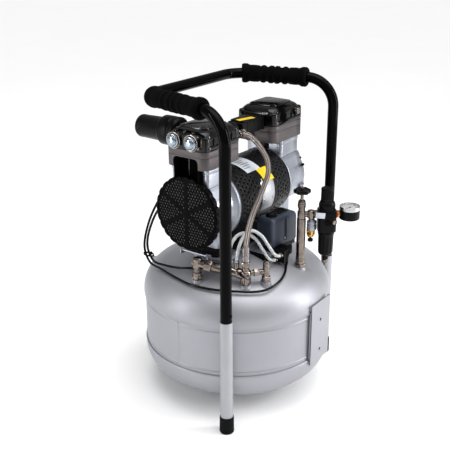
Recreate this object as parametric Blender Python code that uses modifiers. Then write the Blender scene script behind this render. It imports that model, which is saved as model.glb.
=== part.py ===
"""Portable oil-free air compressor: twin-cylinder pump on a small upright tank with three legs.

Metres, +Z up. The tank's axis is the working axis, X runs along the pump's shaft and the
controls face -Y. Run it with blender --background --python part.py, or from the text editor.
"""

import math

import bmesh
import bpy
from mathutils import Matrix, Vector

GAP = 0.0003  # between pieces that touch

# Tank
TANK_R = 0.195
SKIRT_R = 0.1978
SHEET = 0.0025
SEAM_LOW = 0.1076
SEAM_HIGH = 0.2118
KNUCKLE_R = 0.062
CROWN_R = 0.300
LOWER_CROWN_R = 0.400
KNUCKLE_RISE = 0.0065
BOSS_TOP = 0.292
PAD_TOP = 0.326
BRACKET_X = 0.010
TANK_STEPS = 36

# Frame
LEG_CIRCLE_R = 0.223
LEG_ANGLES = {"front": 210.0, "right": 330.0, "rear": 90.0}
LEG_R = 0.0125
LEG_WALL = 0.0010
LEG_TOP = 0.244
REAR_LEG_TOP = 0.222
FOOT_R = 0.0145
FOOT_TALL = 0.036
HANDLE_R = 0.011
HANDLE_WALL = 0.0015
HANDLE_Z = 0.638
HANDLE_FOOT_Z = 0.165
HANDLE_CORNER = (0.1466, 0.106)
LEG_BEND_R = 0.058
CORNER_BEND_R = 0.052
GRIP_SPAN = (0.262, 0.812)

# Pump: X positions are measured from the pump's middle, heights from its shaft
PUMP_X = 0.008
SHAFT_Z = 0.427
MOTOR_R = 0.0695
MOTOR_HALF = 0.090
BAND_SPAN = (-0.014, 0.032)
CRANKCASE_R = 0.060
CRANKCASE_END = 0.163
CYLINDER_X = 0.1157
CYLINDER_BORE = 0.025
HEAD_LONG = 0.1136
HEAD_WIDE = 0.0966
HEAD_CORNER = 0.016
BLOCK_LOW = 0.090
BLOCK_HIGH = 0.125
FLANGE_HIGH = 0.148
HEAD_HIGH = 0.165
CRANK_THROW = 0.005
FOOT_X = 0.112
ARCH_WIDE = 0.058
ARCH_HIGH = 0.1105
GRILLE_R = 0.0737
GRILLE_FACE = 0.1751
END_COVER_R = 0.058
PLUG_Z = 0.1395

# Fittings on the tank's dome, from the tank's axis
INLET_POST = (-0.148, -0.010)
TEE_POST = (-0.112, -0.100)
RELIEF_POST = (-0.080, -0.126)
OUTLET_POST = (0.021, -0.143)

# Outlet line: everything after the shut-off valve lies along this heading
LINE_HEADING = -54.0
LINE_Z = 0.400
RELIEF_REACH = 0.0190
REGULATOR_REACH = 0.050
GAUGE_REACH = 0.095

# Pressure switch
SWITCH_AT = (0.018, -0.088)
SWITCH_TURN = -8.0
SWITCH_SIZE = (0.080, 0.042)
SWITCH_BASE_Z = 0.3220
SWITCH_TOP_Z = 0.3916

# The tank's axis in the finished part, so that its box stands centred on the origin
TANK_AT = (0.0, 0.00143)

BRAIDED_HOSE_D = 0.0105
CLEAR_TUBE_D = 0.0065
CABLE_D = 0.005

BRAIDED_HOSE = [
    (-0.0395, -0.0370, 0.5615),
    (-0.0340, -0.0370, 0.5615),
    (-0.0175, -0.0440, 0.5530),
    (-0.0035, -0.0520, 0.5365),
    (0.0070, -0.0590, 0.5190),
    (0.0110, -0.0670, 0.5000),
    (0.0010, -0.0760, 0.4790),
    (-0.0280, -0.0850, 0.4600),
    (-0.0590, -0.0920, 0.4400),
    (-0.0840, -0.0960, 0.4190),
    (-0.1010, -0.0985, 0.3960),
    (-0.1100, -0.0998, 0.3720),
    (-0.1120, -0.1000, 0.3585),
    (-0.1120, -0.1000, 0.3525),
]
CLEAR_TUBE_FRONT = [
    (-0.1180, -0.0830, 0.3310),
    (-0.1180, -0.0830, 0.3370),
    (-0.1120, -0.0840, 0.3600),
    (-0.0970, -0.0850, 0.3780),
    (-0.0780, -0.0900, 0.3850),
    (-0.0650, -0.1040, 0.3740),
    (-0.0540, -0.1150, 0.3500),
    (-0.0420, -0.1210, 0.3300),
    (-0.0290, -0.1240, 0.3225),
    (-0.0200, -0.1240, 0.3225),
]
CLEAR_TUBE_BACK = [
    (-0.1243, -0.0683, 0.3350),
    (-0.1243, -0.0683, 0.3410),
    (-0.1150, -0.0690, 0.3650),
    (-0.1000, -0.0715, 0.3770),
    (-0.0830, -0.0790, 0.3790),
    (-0.0700, -0.0940, 0.3660),
    (-0.0600, -0.1050, 0.3420),
    (-0.0470, -0.1110, 0.3200),
    (-0.0290, -0.1130, 0.3110),
    (-0.0200, -0.1130, 0.3110),
]
SUPPLY_CABLE = [
    (-0.1180, 0.0680, 0.4400),
    (-0.1180, 0.0760, 0.4400),
    (-0.1210, 0.1000, 0.4280),
    (-0.1240, 0.1300, 0.3750),
    (-0.1240, 0.1480, 0.3150),
    (-0.1270, 0.1330, 0.2810),
    (-0.1400, 0.0920, 0.2800),
    (-0.1560, 0.0430, 0.2810),
    (-0.1640, -0.0020, 0.2800),
    (-0.1610, -0.0360, 0.2800),
    (-0.1520, -0.0680, 0.2800),
    (-0.1370, -0.0970, 0.2800),
    (-0.1180, -0.1220, 0.2785),
    (-0.0950, -0.1400, 0.2800),
    (-0.0600, -0.1450, 0.2850),
    (-0.0330, -0.1400, 0.2915),
    (-0.0140, -0.1310, 0.2960),
    (0.0000, -0.1245, 0.3000),
    (0.0055, -0.1205, 0.3055),
    (0.0060, -0.1200, 0.3110),
    (0.0060, -0.1200, 0.3155),
]
MOTOR_CABLE = [
    (-0.1260, 0.0605, 0.4250),
    (-0.1260, 0.0700, 0.4250),
    (-0.1310, 0.1000, 0.4040),
    (-0.1320, 0.1250, 0.3550),
    (-0.1300, 0.1340, 0.3150),
    (-0.1310, 0.1180, 0.2880),
    (-0.1350, 0.0850, 0.2880),
    (-0.1390, 0.0500, 0.2930),
    (-0.1370, 0.0280, 0.2970),
    (-0.1310, 0.0070, 0.3000),
    (-0.1240, -0.0130, 0.3040),
    (-0.1210, -0.0200, 0.3110),
    (-0.1210, -0.0200, 0.3180),
]


def clear_scene():
    for thing in list(bpy.data.objects):
        bpy.data.objects.remove(thing, do_unlink=True)


def new_collection(name):
    collection = bpy.data.collections.new(name)
    bpy.context.scene.collection.children.link(collection)
    return collection


clear_scene()
PARTS = new_collection("air_compressor")
CUTTERS = new_collection("cutters")
CUTTERS.hide_render = True


# Materials


def paint(name, colour, roughness, metallic=0.0, alpha=1.0):
    material = bpy.data.materials.new(name)
    material.use_nodes = True
    shader = material.node_tree.nodes["Principled BSDF"]
    shader.inputs["Base Color"].default_value = (*colour, 1.0)
    shader.inputs["Roughness"].default_value = roughness
    shader.inputs["Metallic"].default_value = metallic
    shader.inputs["Alpha"].default_value = alpha
    material.diffuse_color = (*colour, alpha)
    return material


SILVER_PAINT = paint("silver_paint", (0.50, 0.51, 0.54), 0.45, 0.3)
LEG_PAINT = paint("leg_paint", (0.55, 0.56, 0.60), 0.45, 0.2)
BLACK_PAINT = paint("black_paint", (0.012, 0.012, 0.014), 0.25)
BLACK_RUBBER = paint("black_rubber", (0.012, 0.012, 0.012), 0.85)
BLACK_FOAM = paint("black_foam", (0.015, 0.015, 0.016), 0.95)
CAST_ALUMINIUM = paint("cast_aluminium", (0.55, 0.56, 0.62), 0.5, 0.6)
DARK_ALUMINIUM = paint("dark_aluminium", (0.24, 0.21, 0.21), 0.5, 0.5)
BLACK_PLASTIC = paint("black_plastic", (0.014, 0.014, 0.015), 0.4)
BLACK_SHEET = paint("black_sheet", (0.010, 0.010, 0.011), 0.35)
STEEL = paint("bright_steel", (0.60, 0.60, 0.61), 0.3, 1.0)
NICKEL = paint("nickel", (0.55, 0.50, 0.46), 0.25, 1.0)
BRASS = paint("brass", (0.70, 0.47, 0.18), 0.3, 1.0)
SWITCH_GREY = paint("switch_grey", (0.075, 0.095, 0.14), 0.45)
BRAID = paint("steel_braid", (0.48, 0.38, 0.35), 0.4, 0.7)
CLEAR_PLASTIC = paint("clear_plastic", (0.75, 0.77, 0.78), 0.2, 0.0, 0.5)


# Building blocks


def shade(bm, sharp=35.0):
    """Smooth faces, with a hard edge wherever two faces meet at more than the given angle."""
    for face in bm.faces:
        face.smooth = True
    for edge in bm.edges:
        edge.smooth = len(edge.link_faces) == 2 and edge.calc_face_angle(0.0) < math.radians(sharp)


def keep(name, bm, material, at=(0, 0, 0), turn=(0, 0, 0), parent=None, cutter=False):
    """Turns a bmesh into a named object at its place, among the parts or the cutters."""
    bmesh.ops.recalc_face_normals(bm, faces=bm.faces)
    shade(bm)
    mesh = bpy.data.meshes.new(name)
    bm.to_mesh(mesh)
    bm.free()
    thing = bpy.data.objects.new(name, mesh)
    thing.location = at
    thing.rotation_euler = [math.radians(angle) for angle in turn]
    thing.parent = parent
    if material:
        mesh.materials.append(material)
    (CUTTERS if cutter else PARTS).objects.link(thing)
    if cutter:
        thing.display_type = "WIRE"
        thing.hide_render = True
    return thing


def spun(profile, steps=32):
    """A body of revolution about Z, from a closed outline of (radius, height) points."""
    bm = bmesh.new()
    ring = [bm.verts.new((radius, 0.0, height)) for radius, height in profile]
    pairs = zip(ring, ring[1:] + ring[:1])
    edges = [bm.edges.new(pair) for pair in pairs if pair[0].co.x + pair[1].co.x > 1e-9]
    bmesh.ops.spin(
        bm,
        geom=ring + edges,
        cent=(0, 0, 0),
        axis=(0, 0, 1),
        angle=math.tau,
        steps=steps,
        use_merge=True,
        use_duplicate=False,
    )
    bmesh.ops.remove_doubles(bm, verts=bm.verts, dist=1e-6)
    return bm


def rod(radius, low, high, steps=24, edge=0.0):
    """A solid cylinder from height low to high, its rims bevelled by edge."""
    bm = bmesh.new()
    bmesh.ops.create_cone(
        bm,
        cap_ends=True,
        segments=steps,
        radius1=radius,
        radius2=radius,
        depth=high - low,
        matrix=Matrix.Translation((0, 0, (low + high) / 2)),
    )
    if edge:
        rims = [rim for rim in bm.edges if abs(rim.verts[0].co.z - rim.verts[1].co.z) < 1e-6]
        bmesh.ops.bevel(bm, geom=rims, offset=edge, segments=1, affect="EDGES")
    return bm


def sleeve(outer, inner, low, high, steps=32):
    return spun([(outer, low), (outer, high), (inner, high), (inner, low)], steps)


def loft(rings):
    """A closed body through equal rings of points, capped at both ends."""
    bm = bmesh.new()
    loops = [[bm.verts.new(point) for point in ring] for ring in rings]
    for lower, upper in zip(loops, loops[1:]):
        count = len(lower)
        for i in range(count):
            j = (i + 1) % count
            bm.faces.new((lower[i], lower[j], upper[j], upper[i]))
    bm.faces.new(list(reversed(loops[0])))
    bm.faces.new(loops[-1])
    return bm


def rounded(long, wide, radius, z, segments=3):
    """A rounded rectangle about the Z axis at height z."""
    points = []
    for quarter, (sx, sy) in enumerate([(1, 1), (-1, 1), (-1, -1), (1, -1)]):
        for i in range(segments + 1):
            angle = math.pi / 2 * (quarter + i / segments)
            x = sx * (long / 2 - radius) + radius * math.cos(angle)
            y = sy * (wide / 2 - radius) + radius * math.sin(angle)
            points.append((x, y, z))
    return points


def slab(long, wide, radius, low, high, edge=0.0, segments=3):
    """A rounded block, its top rim chamfered by edge."""
    rings = [rounded(long, wide, radius, low, segments)]
    if edge:
        rings.append(rounded(long, wide, radius, high - edge, segments))
    inner = max(radius - edge, 0.0005)
    rings.append(rounded(long - 2 * edge, wide - 2 * edge, inner, high, segments))
    return loft(rings)


def box(low, high):
    low, high = Vector(low), Vector(high)
    bm = bmesh.new()
    bmesh.ops.create_cube(bm, size=1.0)
    bmesh.ops.scale(bm, vec=high - low, verts=bm.verts)
    bmesh.ops.translate(bm, vec=(low + high) / 2, verts=bm.verts)
    return bm


def combine(thing, operation, tools):
    """Adds each tool to the object, or takes it away, with an exact Boolean."""
    for tool in tools:
        modifier = thing.modifiers.new(tool.name, "BOOLEAN")
        modifier.operation = operation
        modifier.solver = "EXACT"
        modifier.object = tool
    return thing


def tool(name, bm, at=(0, 0, 0), turn=(0, 0, 0), parent=None):
    return keep(name, bm, None, at, turn, parent, cutter=True)


def smooth_route(points, per_span=2):
    """A smooth curve through hand-placed points, straight over its first and last run."""
    knots = [Vector(point) for point in points]
    route = [knots[0]]
    for a, b, c, d in zip(knots, knots[1:], knots[2:], knots[3:]):
        for i in range(per_span):
            t = i / per_span
            route.append(
                0.5
                * (
                    2 * b
                    + (c - a) * t
                    + (2 * a - 5 * b + 4 * c - d) * t**2
                    + (3 * b - a - 3 * c + d) * t**3
                )
            )
    return [*route, knots[-2], knots[-1]]


def tube(name, route, diameter, material, parent, resolution=3, wall=0.0):
    """A round tube along a route: solid, or hollow with open ends when it has a wall."""
    curve = bpy.data.curves.new(name, "CURVE")
    curve.dimensions = "3D"
    curve.bevel_depth = diameter / 2
    curve.bevel_resolution = resolution
    curve.use_fill_caps = wall == 0.0
    spline = curve.splines.new("POLY")
    spline.points.add(len(route) - 1)
    for point, place in zip(spline.points, route):
        point.co = (*place, 1.0)
    spline.use_smooth = True
    curve.materials.append(material)
    thing = bpy.data.objects.new(name, curve)
    thing.parent = parent
    PARTS.objects.link(thing)
    if wall:
        solidify = thing.modifiers.new("wall", "SOLIDIFY")
        solidify.thickness = wall
        solidify.offset = -1.0
        solidify.use_rim = True
    return thing


def bent_route(corners, radii, per_bend=7):
    """Straight runs between corners, each inner corner rounded to its radius."""
    points = [Vector(corner) for corner in corners]
    route = [points[0]]
    for before, corner, after, radius in zip(points, points[1:], points[2:], radii):
        back = (before - corner).normalized()
        ahead = (after - corner).normalized()
        half = back.angle(ahead) / 2
        centre = corner + (back + ahead).normalized() * radius / math.sin(half)
        start = corner + back * radius / math.tan(half) - centre
        axis = start.cross(corner + ahead * radius / math.tan(half) - centre).normalized()
        sweep = math.pi - 2 * half
        for i in range(per_bend + 1):
            turn = Matrix.Rotation(sweep * i / per_bend, 3, axis)
            route.append(centre + turn @ start)
    return [*route, points[-1]]


def empty(name, at, parent=None, turn=(0, 0, 0)):
    thing = bpy.data.objects.new(name, None)
    thing.empty_display_size = 0.02
    thing.location = at
    thing.rotation_euler = [math.radians(angle) for angle in turn]
    thing.parent = parent
    PARTS.objects.link(thing)
    return thing


def on_circle(radius, degrees, z=0.0):
    angle = math.radians(degrees)
    return (radius * math.cos(angle), radius * math.sin(angle), z)


TANK = empty("tank_axis", (*TANK_AT, 0.0))
PUMP = empty("pump_shaft", (PUMP_X, 0.0, SHAFT_Z), TANK)
LINE = empty("outlet_line", (*OUTLET_POST, LINE_Z), TANK, (0, 0, LINE_HEADING))
ALONG_X = (0, 90, 0)


# Tank


def dome(radius, crown, knuckle, rise, knuckle_steps, crown_steps):
    """(radius, height) points from the skirt up to the axis: a knuckle arc, then the crown."""
    middle = rise - math.sqrt((crown - knuckle) ** 2 - (radius - knuckle) ** 2)
    split = math.atan2(rise - middle, radius - knuckle)
    points = []
    for i in range(knuckle_steps + 1):
        angle = split * i / knuckle_steps
        points.append(
            (radius - knuckle + knuckle * math.cos(angle), rise + knuckle * math.sin(angle))
        )
    for i in range(1, crown_steps + 1):
        angle = split + (math.pi / 2 - split) * i / crown_steps
        points.append((max(crown * math.cos(angle), 0.0), middle + crown * math.sin(angle)))
    points[-1] = (0.0, points[-1][1])
    return points


def tank_head(name, seam, up, crown):
    """A dished head whose skirt laps over the band, seam at its free edge."""
    outer = dome(SKIRT_R, crown, KNUCKLE_R, KNUCKLE_RISE, 3, 4)
    inner = dome(SKIRT_R - SHEET, crown - SHEET, KNUCKLE_R - SHEET, KNUCKLE_RISE, 2, 3)
    profile = [(SKIRT_R, 0.0), *outer, *reversed(inner), (SKIRT_R - SHEET, 0.0)]
    bm = spun([(radius, seam + up * height) for radius, height in profile], TANK_STEPS)
    return keep(name, bm, SILVER_PAINT, parent=TANK)


def tank():
    upper = tank_head("tank_upper_head", SEAM_HIGH, 1, CROWN_R)
    posts = [INLET_POST, TEE_POST, RELIEF_POST, OUTLET_POST]
    bosses = [
        tool(f"boss_{i}", rod(0.0105, 0.277, BOSS_TOP, 10), (*post, 0), parent=TANK)
        for i, post in enumerate(posts)
    ]
    corners = [(x, y) for x in (-0.082, 0.098) for y in (-0.036, 0.036)]
    pads = [
        tool(f"pad_{i}", rod(0.009, 0.300, PAD_TOP, 8), (*corner, 0), parent=TANK)
        for i, corner in enumerate(corners)
    ]
    combine(upper, "UNION", bosses + pads)
    tank_head("tank_lower_head", SEAM_LOW, -1, LOWER_CROWN_R)
    band = sleeve(TANK_R, TANK_R - SHEET, SEAM_LOW - 0.006, SEAM_HIGH + 0.006, TANK_STEPS)
    keep("tank_band", band, SILVER_PAINT, parent=TANK)


def tank_bracket():
    """A folded plate standing off the tank's front, with two mounting holes."""
    face_y, back_y, thick = -0.2012, -0.1970, 0.0018
    half, low, high = 0.036, 0.097, 0.230
    outline = [
        (-half, back_y),
        (-half, face_y),
        (half, face_y),
        (half, back_y),
        (half - thick, back_y),
        (half - thick, face_y + thick),
        (-half + thick, face_y + thick),
        (-half + thick, back_y),
    ]
    bm = loft([[(x, y, z) for x, y in outline] for z in (low, high)])
    bracket = keep("tank_bracket", bm, SILVER_PAINT, (BRACKET_X, 0, 0), parent=TANK)
    holes = [
        tool(f"bracket_hole_{i}", rod(0.0035, -0.01, 0.01, 12), (BRACKET_X, face_y, z), (90, 0, 0), TANK)
        for i, z in enumerate((0.120, 0.188))
    ]
    combine(bracket, "DIFFERENCE", holes)


# Frame


def leg(side, angle):
    top = REAR_LEG_TOP if side == "rear" else LEG_TOP
    bore = LEG_R - LEG_WALL
    stand = empty(f"leg_{side}_stand", (0, 0, 0), TANK, (0, 0, angle))
    if side == "rear":
        closed = top - 0.002
        profile = [
            (LEG_R, 0.0083),
            (LEG_R, closed),
            (LEG_R - 0.002, top),
            (0, top),
            (0, closed),
            (bore, closed),
            (bore, 0.0083),
        ]
        shell = spun(profile, 16)
    else:
        shell = sleeve(LEG_R, bore, 0.0083, top, 16)
    piece = keep(f"leg_{side}", shell, LEG_PAINT, (LEG_CIRCLE_R, 0, 0), parent=stand)
    webs = [
        tool(
            f"leg_{side}_web_{i}",
            box((TANK_R + 0.0006, -0.003, z - 0.018), (LEG_CIRCLE_R - 0.0117, 0.003, z + 0.018)),
            parent=stand,
        )
        for i, z in enumerate((0.136, 0.186))
    ]
    combine(piece, "UNION", webs)
    sole = [
        (0, 0),
        (FOOT_R - 0.0015, 0),
        (FOOT_R, 0.0015),
        (FOOT_R - 0.0005, FOOT_TALL - 0.0015),
        (FOOT_R - 0.0015, FOOT_TALL),
        (LEG_R + GAP, FOOT_TALL),
        (LEG_R + GAP, 0.008),
        (0, 0.008),
    ]
    keep(f"rubber_foot_{side}", spun(sole, 16), BLACK_RUBBER, (LEG_CIRCLE_R, 0, 0), parent=stand)


def handle_corners():
    foot_x, foot_y, _ = on_circle(LEG_CIRCLE_R, LEG_ANGLES["right"])
    corner_x, corner_y = HANDLE_CORNER
    return [
        (-foot_x, foot_y, HANDLE_FOOT_Z),
        (-foot_x, foot_y, HANDLE_Z),
        (-corner_x, corner_y, HANDLE_Z),
        (corner_x, corner_y, HANDLE_Z),
        (foot_x, foot_y, HANDLE_Z),
        (foot_x, foot_y, HANDLE_FOOT_Z),
    ]


def handle():
    corners = handle_corners()
    route = bent_route(corners, [LEG_BEND_R, CORNER_BEND_R, CORNER_BEND_R, LEG_BEND_R], 5)
    tube("handle_tube", route, 2 * HANDLE_R, BLACK_PAINT, TANK, 3, HANDLE_WALL)
    for side, start, end in (
        ("left", Vector(corners[1]), Vector(corners[2])),
        ("right", Vector(corners[4]), Vector(corners[3])),
    ):
        run = end - start
        grip(side, start + run * GRIP_SPAN[0], run.length * (GRIP_SPAN[1] - GRIP_SPAN[0]), run)
        hole = Vector((0, -1, 0))
        screw_at = Vector((start.x, start.y, LEG_TOP + 0.014)) + hole * (HANDLE_R + GAP)
        head = spun([(0, 0), (0.0032, 0), (0.0026, 0.0014), (0.0012, 0.0020), (0, 0.0020)], 12)
        keep(f"handle_screw_{side}", head, STEEL, screw_at, (90, 0, 0), TANK)


def grip(side, start, length, run):
    """A foam sleeve on the handle's arm: end flanges and two raised rings."""
    inner = HANDLE_R + 0.0005
    middle = length / 2
    profile = [
        (inner, 0),
        (0.0200, 0),
        (0.0205, 0.008),
        (0.0180, 0.013),
        (0.0178, middle - 0.020),
        (0.0158, middle - 0.015),
        (0.0188, middle - 0.009),
        (0.0158, middle - 0.002),
        (0.0158, middle + 0.002),
        (0.0188, middle + 0.009),
        (0.0158, middle + 0.015),
        (0.0178, middle + 0.020),
        (0.0180, length - 0.013),
        (0.0205, length - 0.008),
        (0.0200, length),
        (inner, length),
    ]
    heading = math.degrees(math.atan2(run.y, run.x))
    keep(f"foam_grip_{side}", spun(profile, 16), BLACK_FOAM, start, (0, 90, heading), TANK)


# Pump


def crankcase(name, side):
    """Cast housing at one end of the motor: a drum, a neck up to the cylinder and a foot."""
    end = CRANKCASE_END
    wall_in = MOTOR_HALF + GAP
    profile = [
        (0, wall_in),
        (0.066, wall_in),
        (0.066, wall_in + 0.006),
        (CRANKCASE_R, wall_in + 0.009),
        (CRANKCASE_R, end),
        (0, end),
    ]
    turn = (0, 90 * side, 0)
    housing = keep(name, spun(profile, 24), CAST_ALUMINIUM, turn=turn, parent=PUMP)
    middle = (wall_in + end) / 2 + 0.001
    neck = slab(end - wall_in - 0.002, 0.088, 0.012, 0.010, BLOCK_LOW - GAP, segments=2)
    foot = slab(0.043, 0.086, 0.006, -0.077, -0.045, segments=2)
    boss = rod(0.008, 0.050, 0.066, 8)
    extra = [
        tool(f"{name}_neck", neck, (side * middle, 0, 0), parent=PUMP),
        tool(f"{name}_foot", foot, (side * FOOT_X, 0, 0), parent=PUMP),
        tool(f"{name}_boss", boss, (side * 0.126, 0, 0.013), (-90, 0, 0), PUMP),
    ]
    combine(housing, "UNION", extra)
    arch = box((0.138, -ARCH_WIDE / 2, 0.0), (0.180, ARCH_WIDE / 2, 0.1))
    if side < 0:
        arch = box((-0.180, -ARCH_WIDE / 2, 0.0), (-0.138, ARCH_WIDE / 2, 0.1))
    hollows = [
        tool(f"{name}_cavity", rod(0.052, 0.0985, 0.17, 20), turn=turn, parent=PUMP),
        tool(f"{name}_shaft_hole", rod(0.0095, 0.08, 0.11, 10), turn=turn, parent=PUMP),
        tool(f"{name}_neck_bore", rod(0.0265, 0.0, 0.1, 16), (side * CYLINDER_X, 0, 0), parent=PUMP),
        tool(f"{name}_arch", arch, parent=PUMP),
    ]
    combine(housing, "DIFFERENCE", hollows)


def cylinder_block(name, side):
    bm = slab(HEAD_LONG, HEAD_WIDE, HEAD_CORNER, BLOCK_LOW, BLOCK_HIGH)
    at = (side * CYLINDER_X, 0, 0)
    block = keep(name, bm, DARK_ALUMINIUM, at, parent=PUMP)
    inner_face = -side * HEAD_LONG / 2
    boss = tool(
        f"{name}_boss",
        rod(0.011, -0.006, 0.006, 16),
        (side * CYLINDER_X + inner_face, 0.014, 0.1015),
        ALONG_X,
        PUMP,
    )
    combine(block, "UNION", [boss])
    arch_low = (min(side * 0.150, side * 0.180), -ARCH_WIDE / 2, 0.08)
    arch_high = (max(side * 0.150, side * 0.180), ARCH_WIDE / 2, ARCH_HIGH)
    hollows = [
        tool(f"{name}_bore", rod(CYLINDER_BORE, 0.08, 0.13, 20), at, parent=PUMP),
        tool(f"{name}_arch", box(arch_low, arch_high), parent=PUMP),
    ]
    combine(block, "DIFFERENCE", hollows)


def cylinder_head(name, side):
    low = BLOCK_HIGH + GAP
    rings = [
        rounded(HEAD_LONG, HEAD_WIDE, HEAD_CORNER, low),
        rounded(HEAD_LONG, HEAD_WIDE, HEAD_CORNER, FLANGE_HIGH),
        rounded(HEAD_LONG - 0.014, HEAD_WIDE - 0.012, HEAD_CORNER, FLANGE_HIGH + 0.004),
        rounded(HEAD_LONG - 0.034, HEAD_WIDE - 0.028, HEAD_CORNER, HEAD_HIGH - 0.002),
        rounded(HEAD_LONG - 0.040, HEAD_WIDE - 0.034, HEAD_CORNER - 0.003, HEAD_HIGH),
    ]
    head = keep(name, loft(rings), BLACK_PAINT, (side * CYLINDER_X, 0, 0), parent=PUMP)
    if side < 0:
        x, y, z = BRAIDED_HOSE[0]
        inner_face = -CYLINDER_X + HEAD_LONG / 2
        stub = rod(0.0062, inner_face - 0.004, x - PUMP_X - GAP, 12)
        at = (0, y, z - SHAFT_Z)
        combine(head, "UNION", [tool(f"{name}_stub", stub, at, ALONG_X, PUMP)])


def fan_grille(name, side, radius):
    """A black cover over the crankcase's open end, with a star of air slots."""
    rim_back = CRANKCASE_END + GAP
    profile = [
        (0, GRILLE_FACE - 0.002),
        (0, GRILLE_FACE),
        (radius - 0.003, GRILLE_FACE),
        (radius, GRILLE_FACE - 0.003),
        (radius, rim_back),
        (radius - 0.002, rim_back),
        (radius - 0.002, GRILLE_FACE - 0.002),
    ]
    turn = (0, 90 * side, 0)
    cover = keep(name, spun(profile, 24), BLACK_PLASTIC, turn=turn, parent=PUMP)
    slots = []
    for i in range(8):
        angle = 45.0 * i
        slot = box((0.014, -0.0035, GRILLE_FACE - 0.006), (radius - 0.010, 0.0035, GRILLE_FACE + 0.006))
        spoke = empty(f"{name}_slot_turn_{i}", (0, 0, 0), PUMP, (0, 90 * side, 0))
        slots.append(tool(f"{name}_slot_{i}", slot, turn=(0, 0, angle), parent=spoke))
    combine(cover, "DIFFERENCE", slots)


def fan(name, side, parent):
    """Eight flat blades on a hub, just behind the grille."""
    hub = keep(name, rod(0.013, 0.146, 0.158, 12), BLACK_PLASTIC, turn=(0, 90 * side, 0), parent=parent)
    blades = []
    for i in range(4):
        blade = box((-0.046, -0.0012, 0.1465), (0.046, 0.0012, 0.1575))
        spoke = empty(f"{name}_blade_turn_{i}", (0, 0, 0), parent, (0, 90 * side, 0))
        blades.append(tool(f"{name}_blade_{i}", blade, turn=(0, 0, 45.0 * i), parent=spoke))
    combine(hub, "UNION", blades)
    bore = tool(f"{name}_bore", rod(0.0063, 0.14, 0.17, 12), turn=(0, 90 * side, 0), parent=parent)
    combine(hub, "DIFFERENCE", [bore])


def rotor():
    """Shaft with its core and the two crank discs, all turning in the stator."""
    turning = empty("rotor_axis", (0, 0, 0), PUMP)
    profile = [
        (0, -0.158),
        (0.006, -0.158),
        (0.006, -0.108),
        (0.009, -0.104),
        (0.009, -0.046),
        (0.038, -0.046),
        (0.038, 0.050),
        (0.009, 0.050),
        (0.009, 0.104),
        (0.006, 0.108),
        (0.006, 0.158),
        (0, 0.158),
    ]
    shaft = keep("crankshaft", spun(profile, 16), STEEL, turn=ALONG_X, parent=turning)
    discs = [
        tool(
            f"crank_disc_{i}",
            rod(0.010, side * CYLINDER_X - 0.006, side * CYLINDER_X + 0.006, 14),
            (0, side * CRANK_THROW, 0),
            ALONG_X,
            turning,
        )
        for i, side in enumerate((-1, 1))
    ]
    combine(shaft, "UNION", discs)
    fan("fan_left", -1, turning)
    fan("fan_right", 1, turning)


def motor():
    stator = sleeve(MOTOR_R - 0.0012, 0.0390, *BAND_SPAN, 32)
    keep("stator", stator, STEEL, turn=ALONG_X, parent=PUMP)
    for name, low, high in (
        ("motor_shell_left", -MOTOR_HALF, BAND_SPAN[0] - GAP),
        ("motor_shell_right", BAND_SPAN[1] + GAP, MOTOR_HALF),
    ):
        shell = sleeve(MOTOR_R, MOTOR_R - 0.002, low, high, 32)
        piece = keep(name, shell, BLACK_SHEET, turn=ALONG_X, parent=PUMP)
        windows = []
        for i in range(4):
            inset = 0.012
            window = box((-0.08, -0.007, low + inset), (0.08, 0.007, high - inset))
            spoke = empty(f"{name}_turn_{i}", (0, 0, 0), PUMP, ALONG_X)
            windows.append(tool(f"{name}_window_{i}", window, turn=(0, 0, 22.5 + 45 * i), parent=spoke))
        combine(piece, "DIFFERENCE", windows)


def piston(name, side):
    """A rocking piston: disc, rod and the ring round the crank disc."""
    stand = empty(f"{name}_slide", (side * CYLINDER_X, 0, 0), PUMP)
    disc = keep(name, rod(CYLINDER_BORE - GAP, 0.1040, 0.1110, 20, 0.001), CAST_ALUMINIUM, parent=stand)
    rod_part = tool(f"{name}_rod", box((-0.005, -0.007, 0.022), (0.005, 0.007, 0.1050)), parent=stand)
    ring = tool(f"{name}_ring", rod(0.0265, -0.005, 0.005, 20), turn=ALONG_X, parent=stand)
    combine(disc, "UNION", [rod_part, ring])
    eye = tool(f"{name}_eye", rod(0.0208, -0.01, 0.01, 20), turn=ALONG_X, parent=stand)
    combine(disc, "DIFFERENCE", [eye])


def head_plug(name, y):
    """A domed nickel plug screwed into the left head's end face."""
    profile = [(0, 0), (0.0120, 0), (0.0135, 0.002), (0.0130, 0.0045), (0.0090, 0.0075), (0, 0.0090)]
    face = -CYLINDER_X - HEAD_LONG / 2 - GAP
    keep(name, spun(profile, 14), NICKEL, (face, y, PLUG_Z), (0, -90, 0), PUMP)


def crossover():
    """A box and a stub of pipe that join the two heads' ports."""
    face = CYLINDER_X - HEAD_LONG / 2 - GAP
    body = slab(face + 0.018, 0.038, 0.004, 0.120, 0.149, 0.003, 2)
    piece = keep("crossover", body, BLACK_PLASTIC, ((face - 0.018) / 2, -0.003, 0), parent=PUMP)
    pipe = tool("crossover_pipe", rod(0.009, -face, -0.010, 12), (0, -0.003, 0.136), ALONG_X, PUMP)
    combine(piece, "UNION", [pipe])


def intake_filter():
    start = HEAD_WIDE / 2 + GAP
    profile = [
        (0, start),
        (0.012, start),
        (0.012, 0.054),
        (0.026, 0.054),
        (0.029, 0.057),
        (0.029, 0.092),
        (0.026, 0.096),
        (0.0235, 0.097),
        (0.0225, 0.148),
        (0.0190, 0.154),
        (0, 0.155),
    ]
    keep("intake_filter", spun(profile, 20), BLACK_PLASTIC, (-CYLINDER_X, 0, 0.1385), (-90, 0, 0), PUMP)


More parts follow.
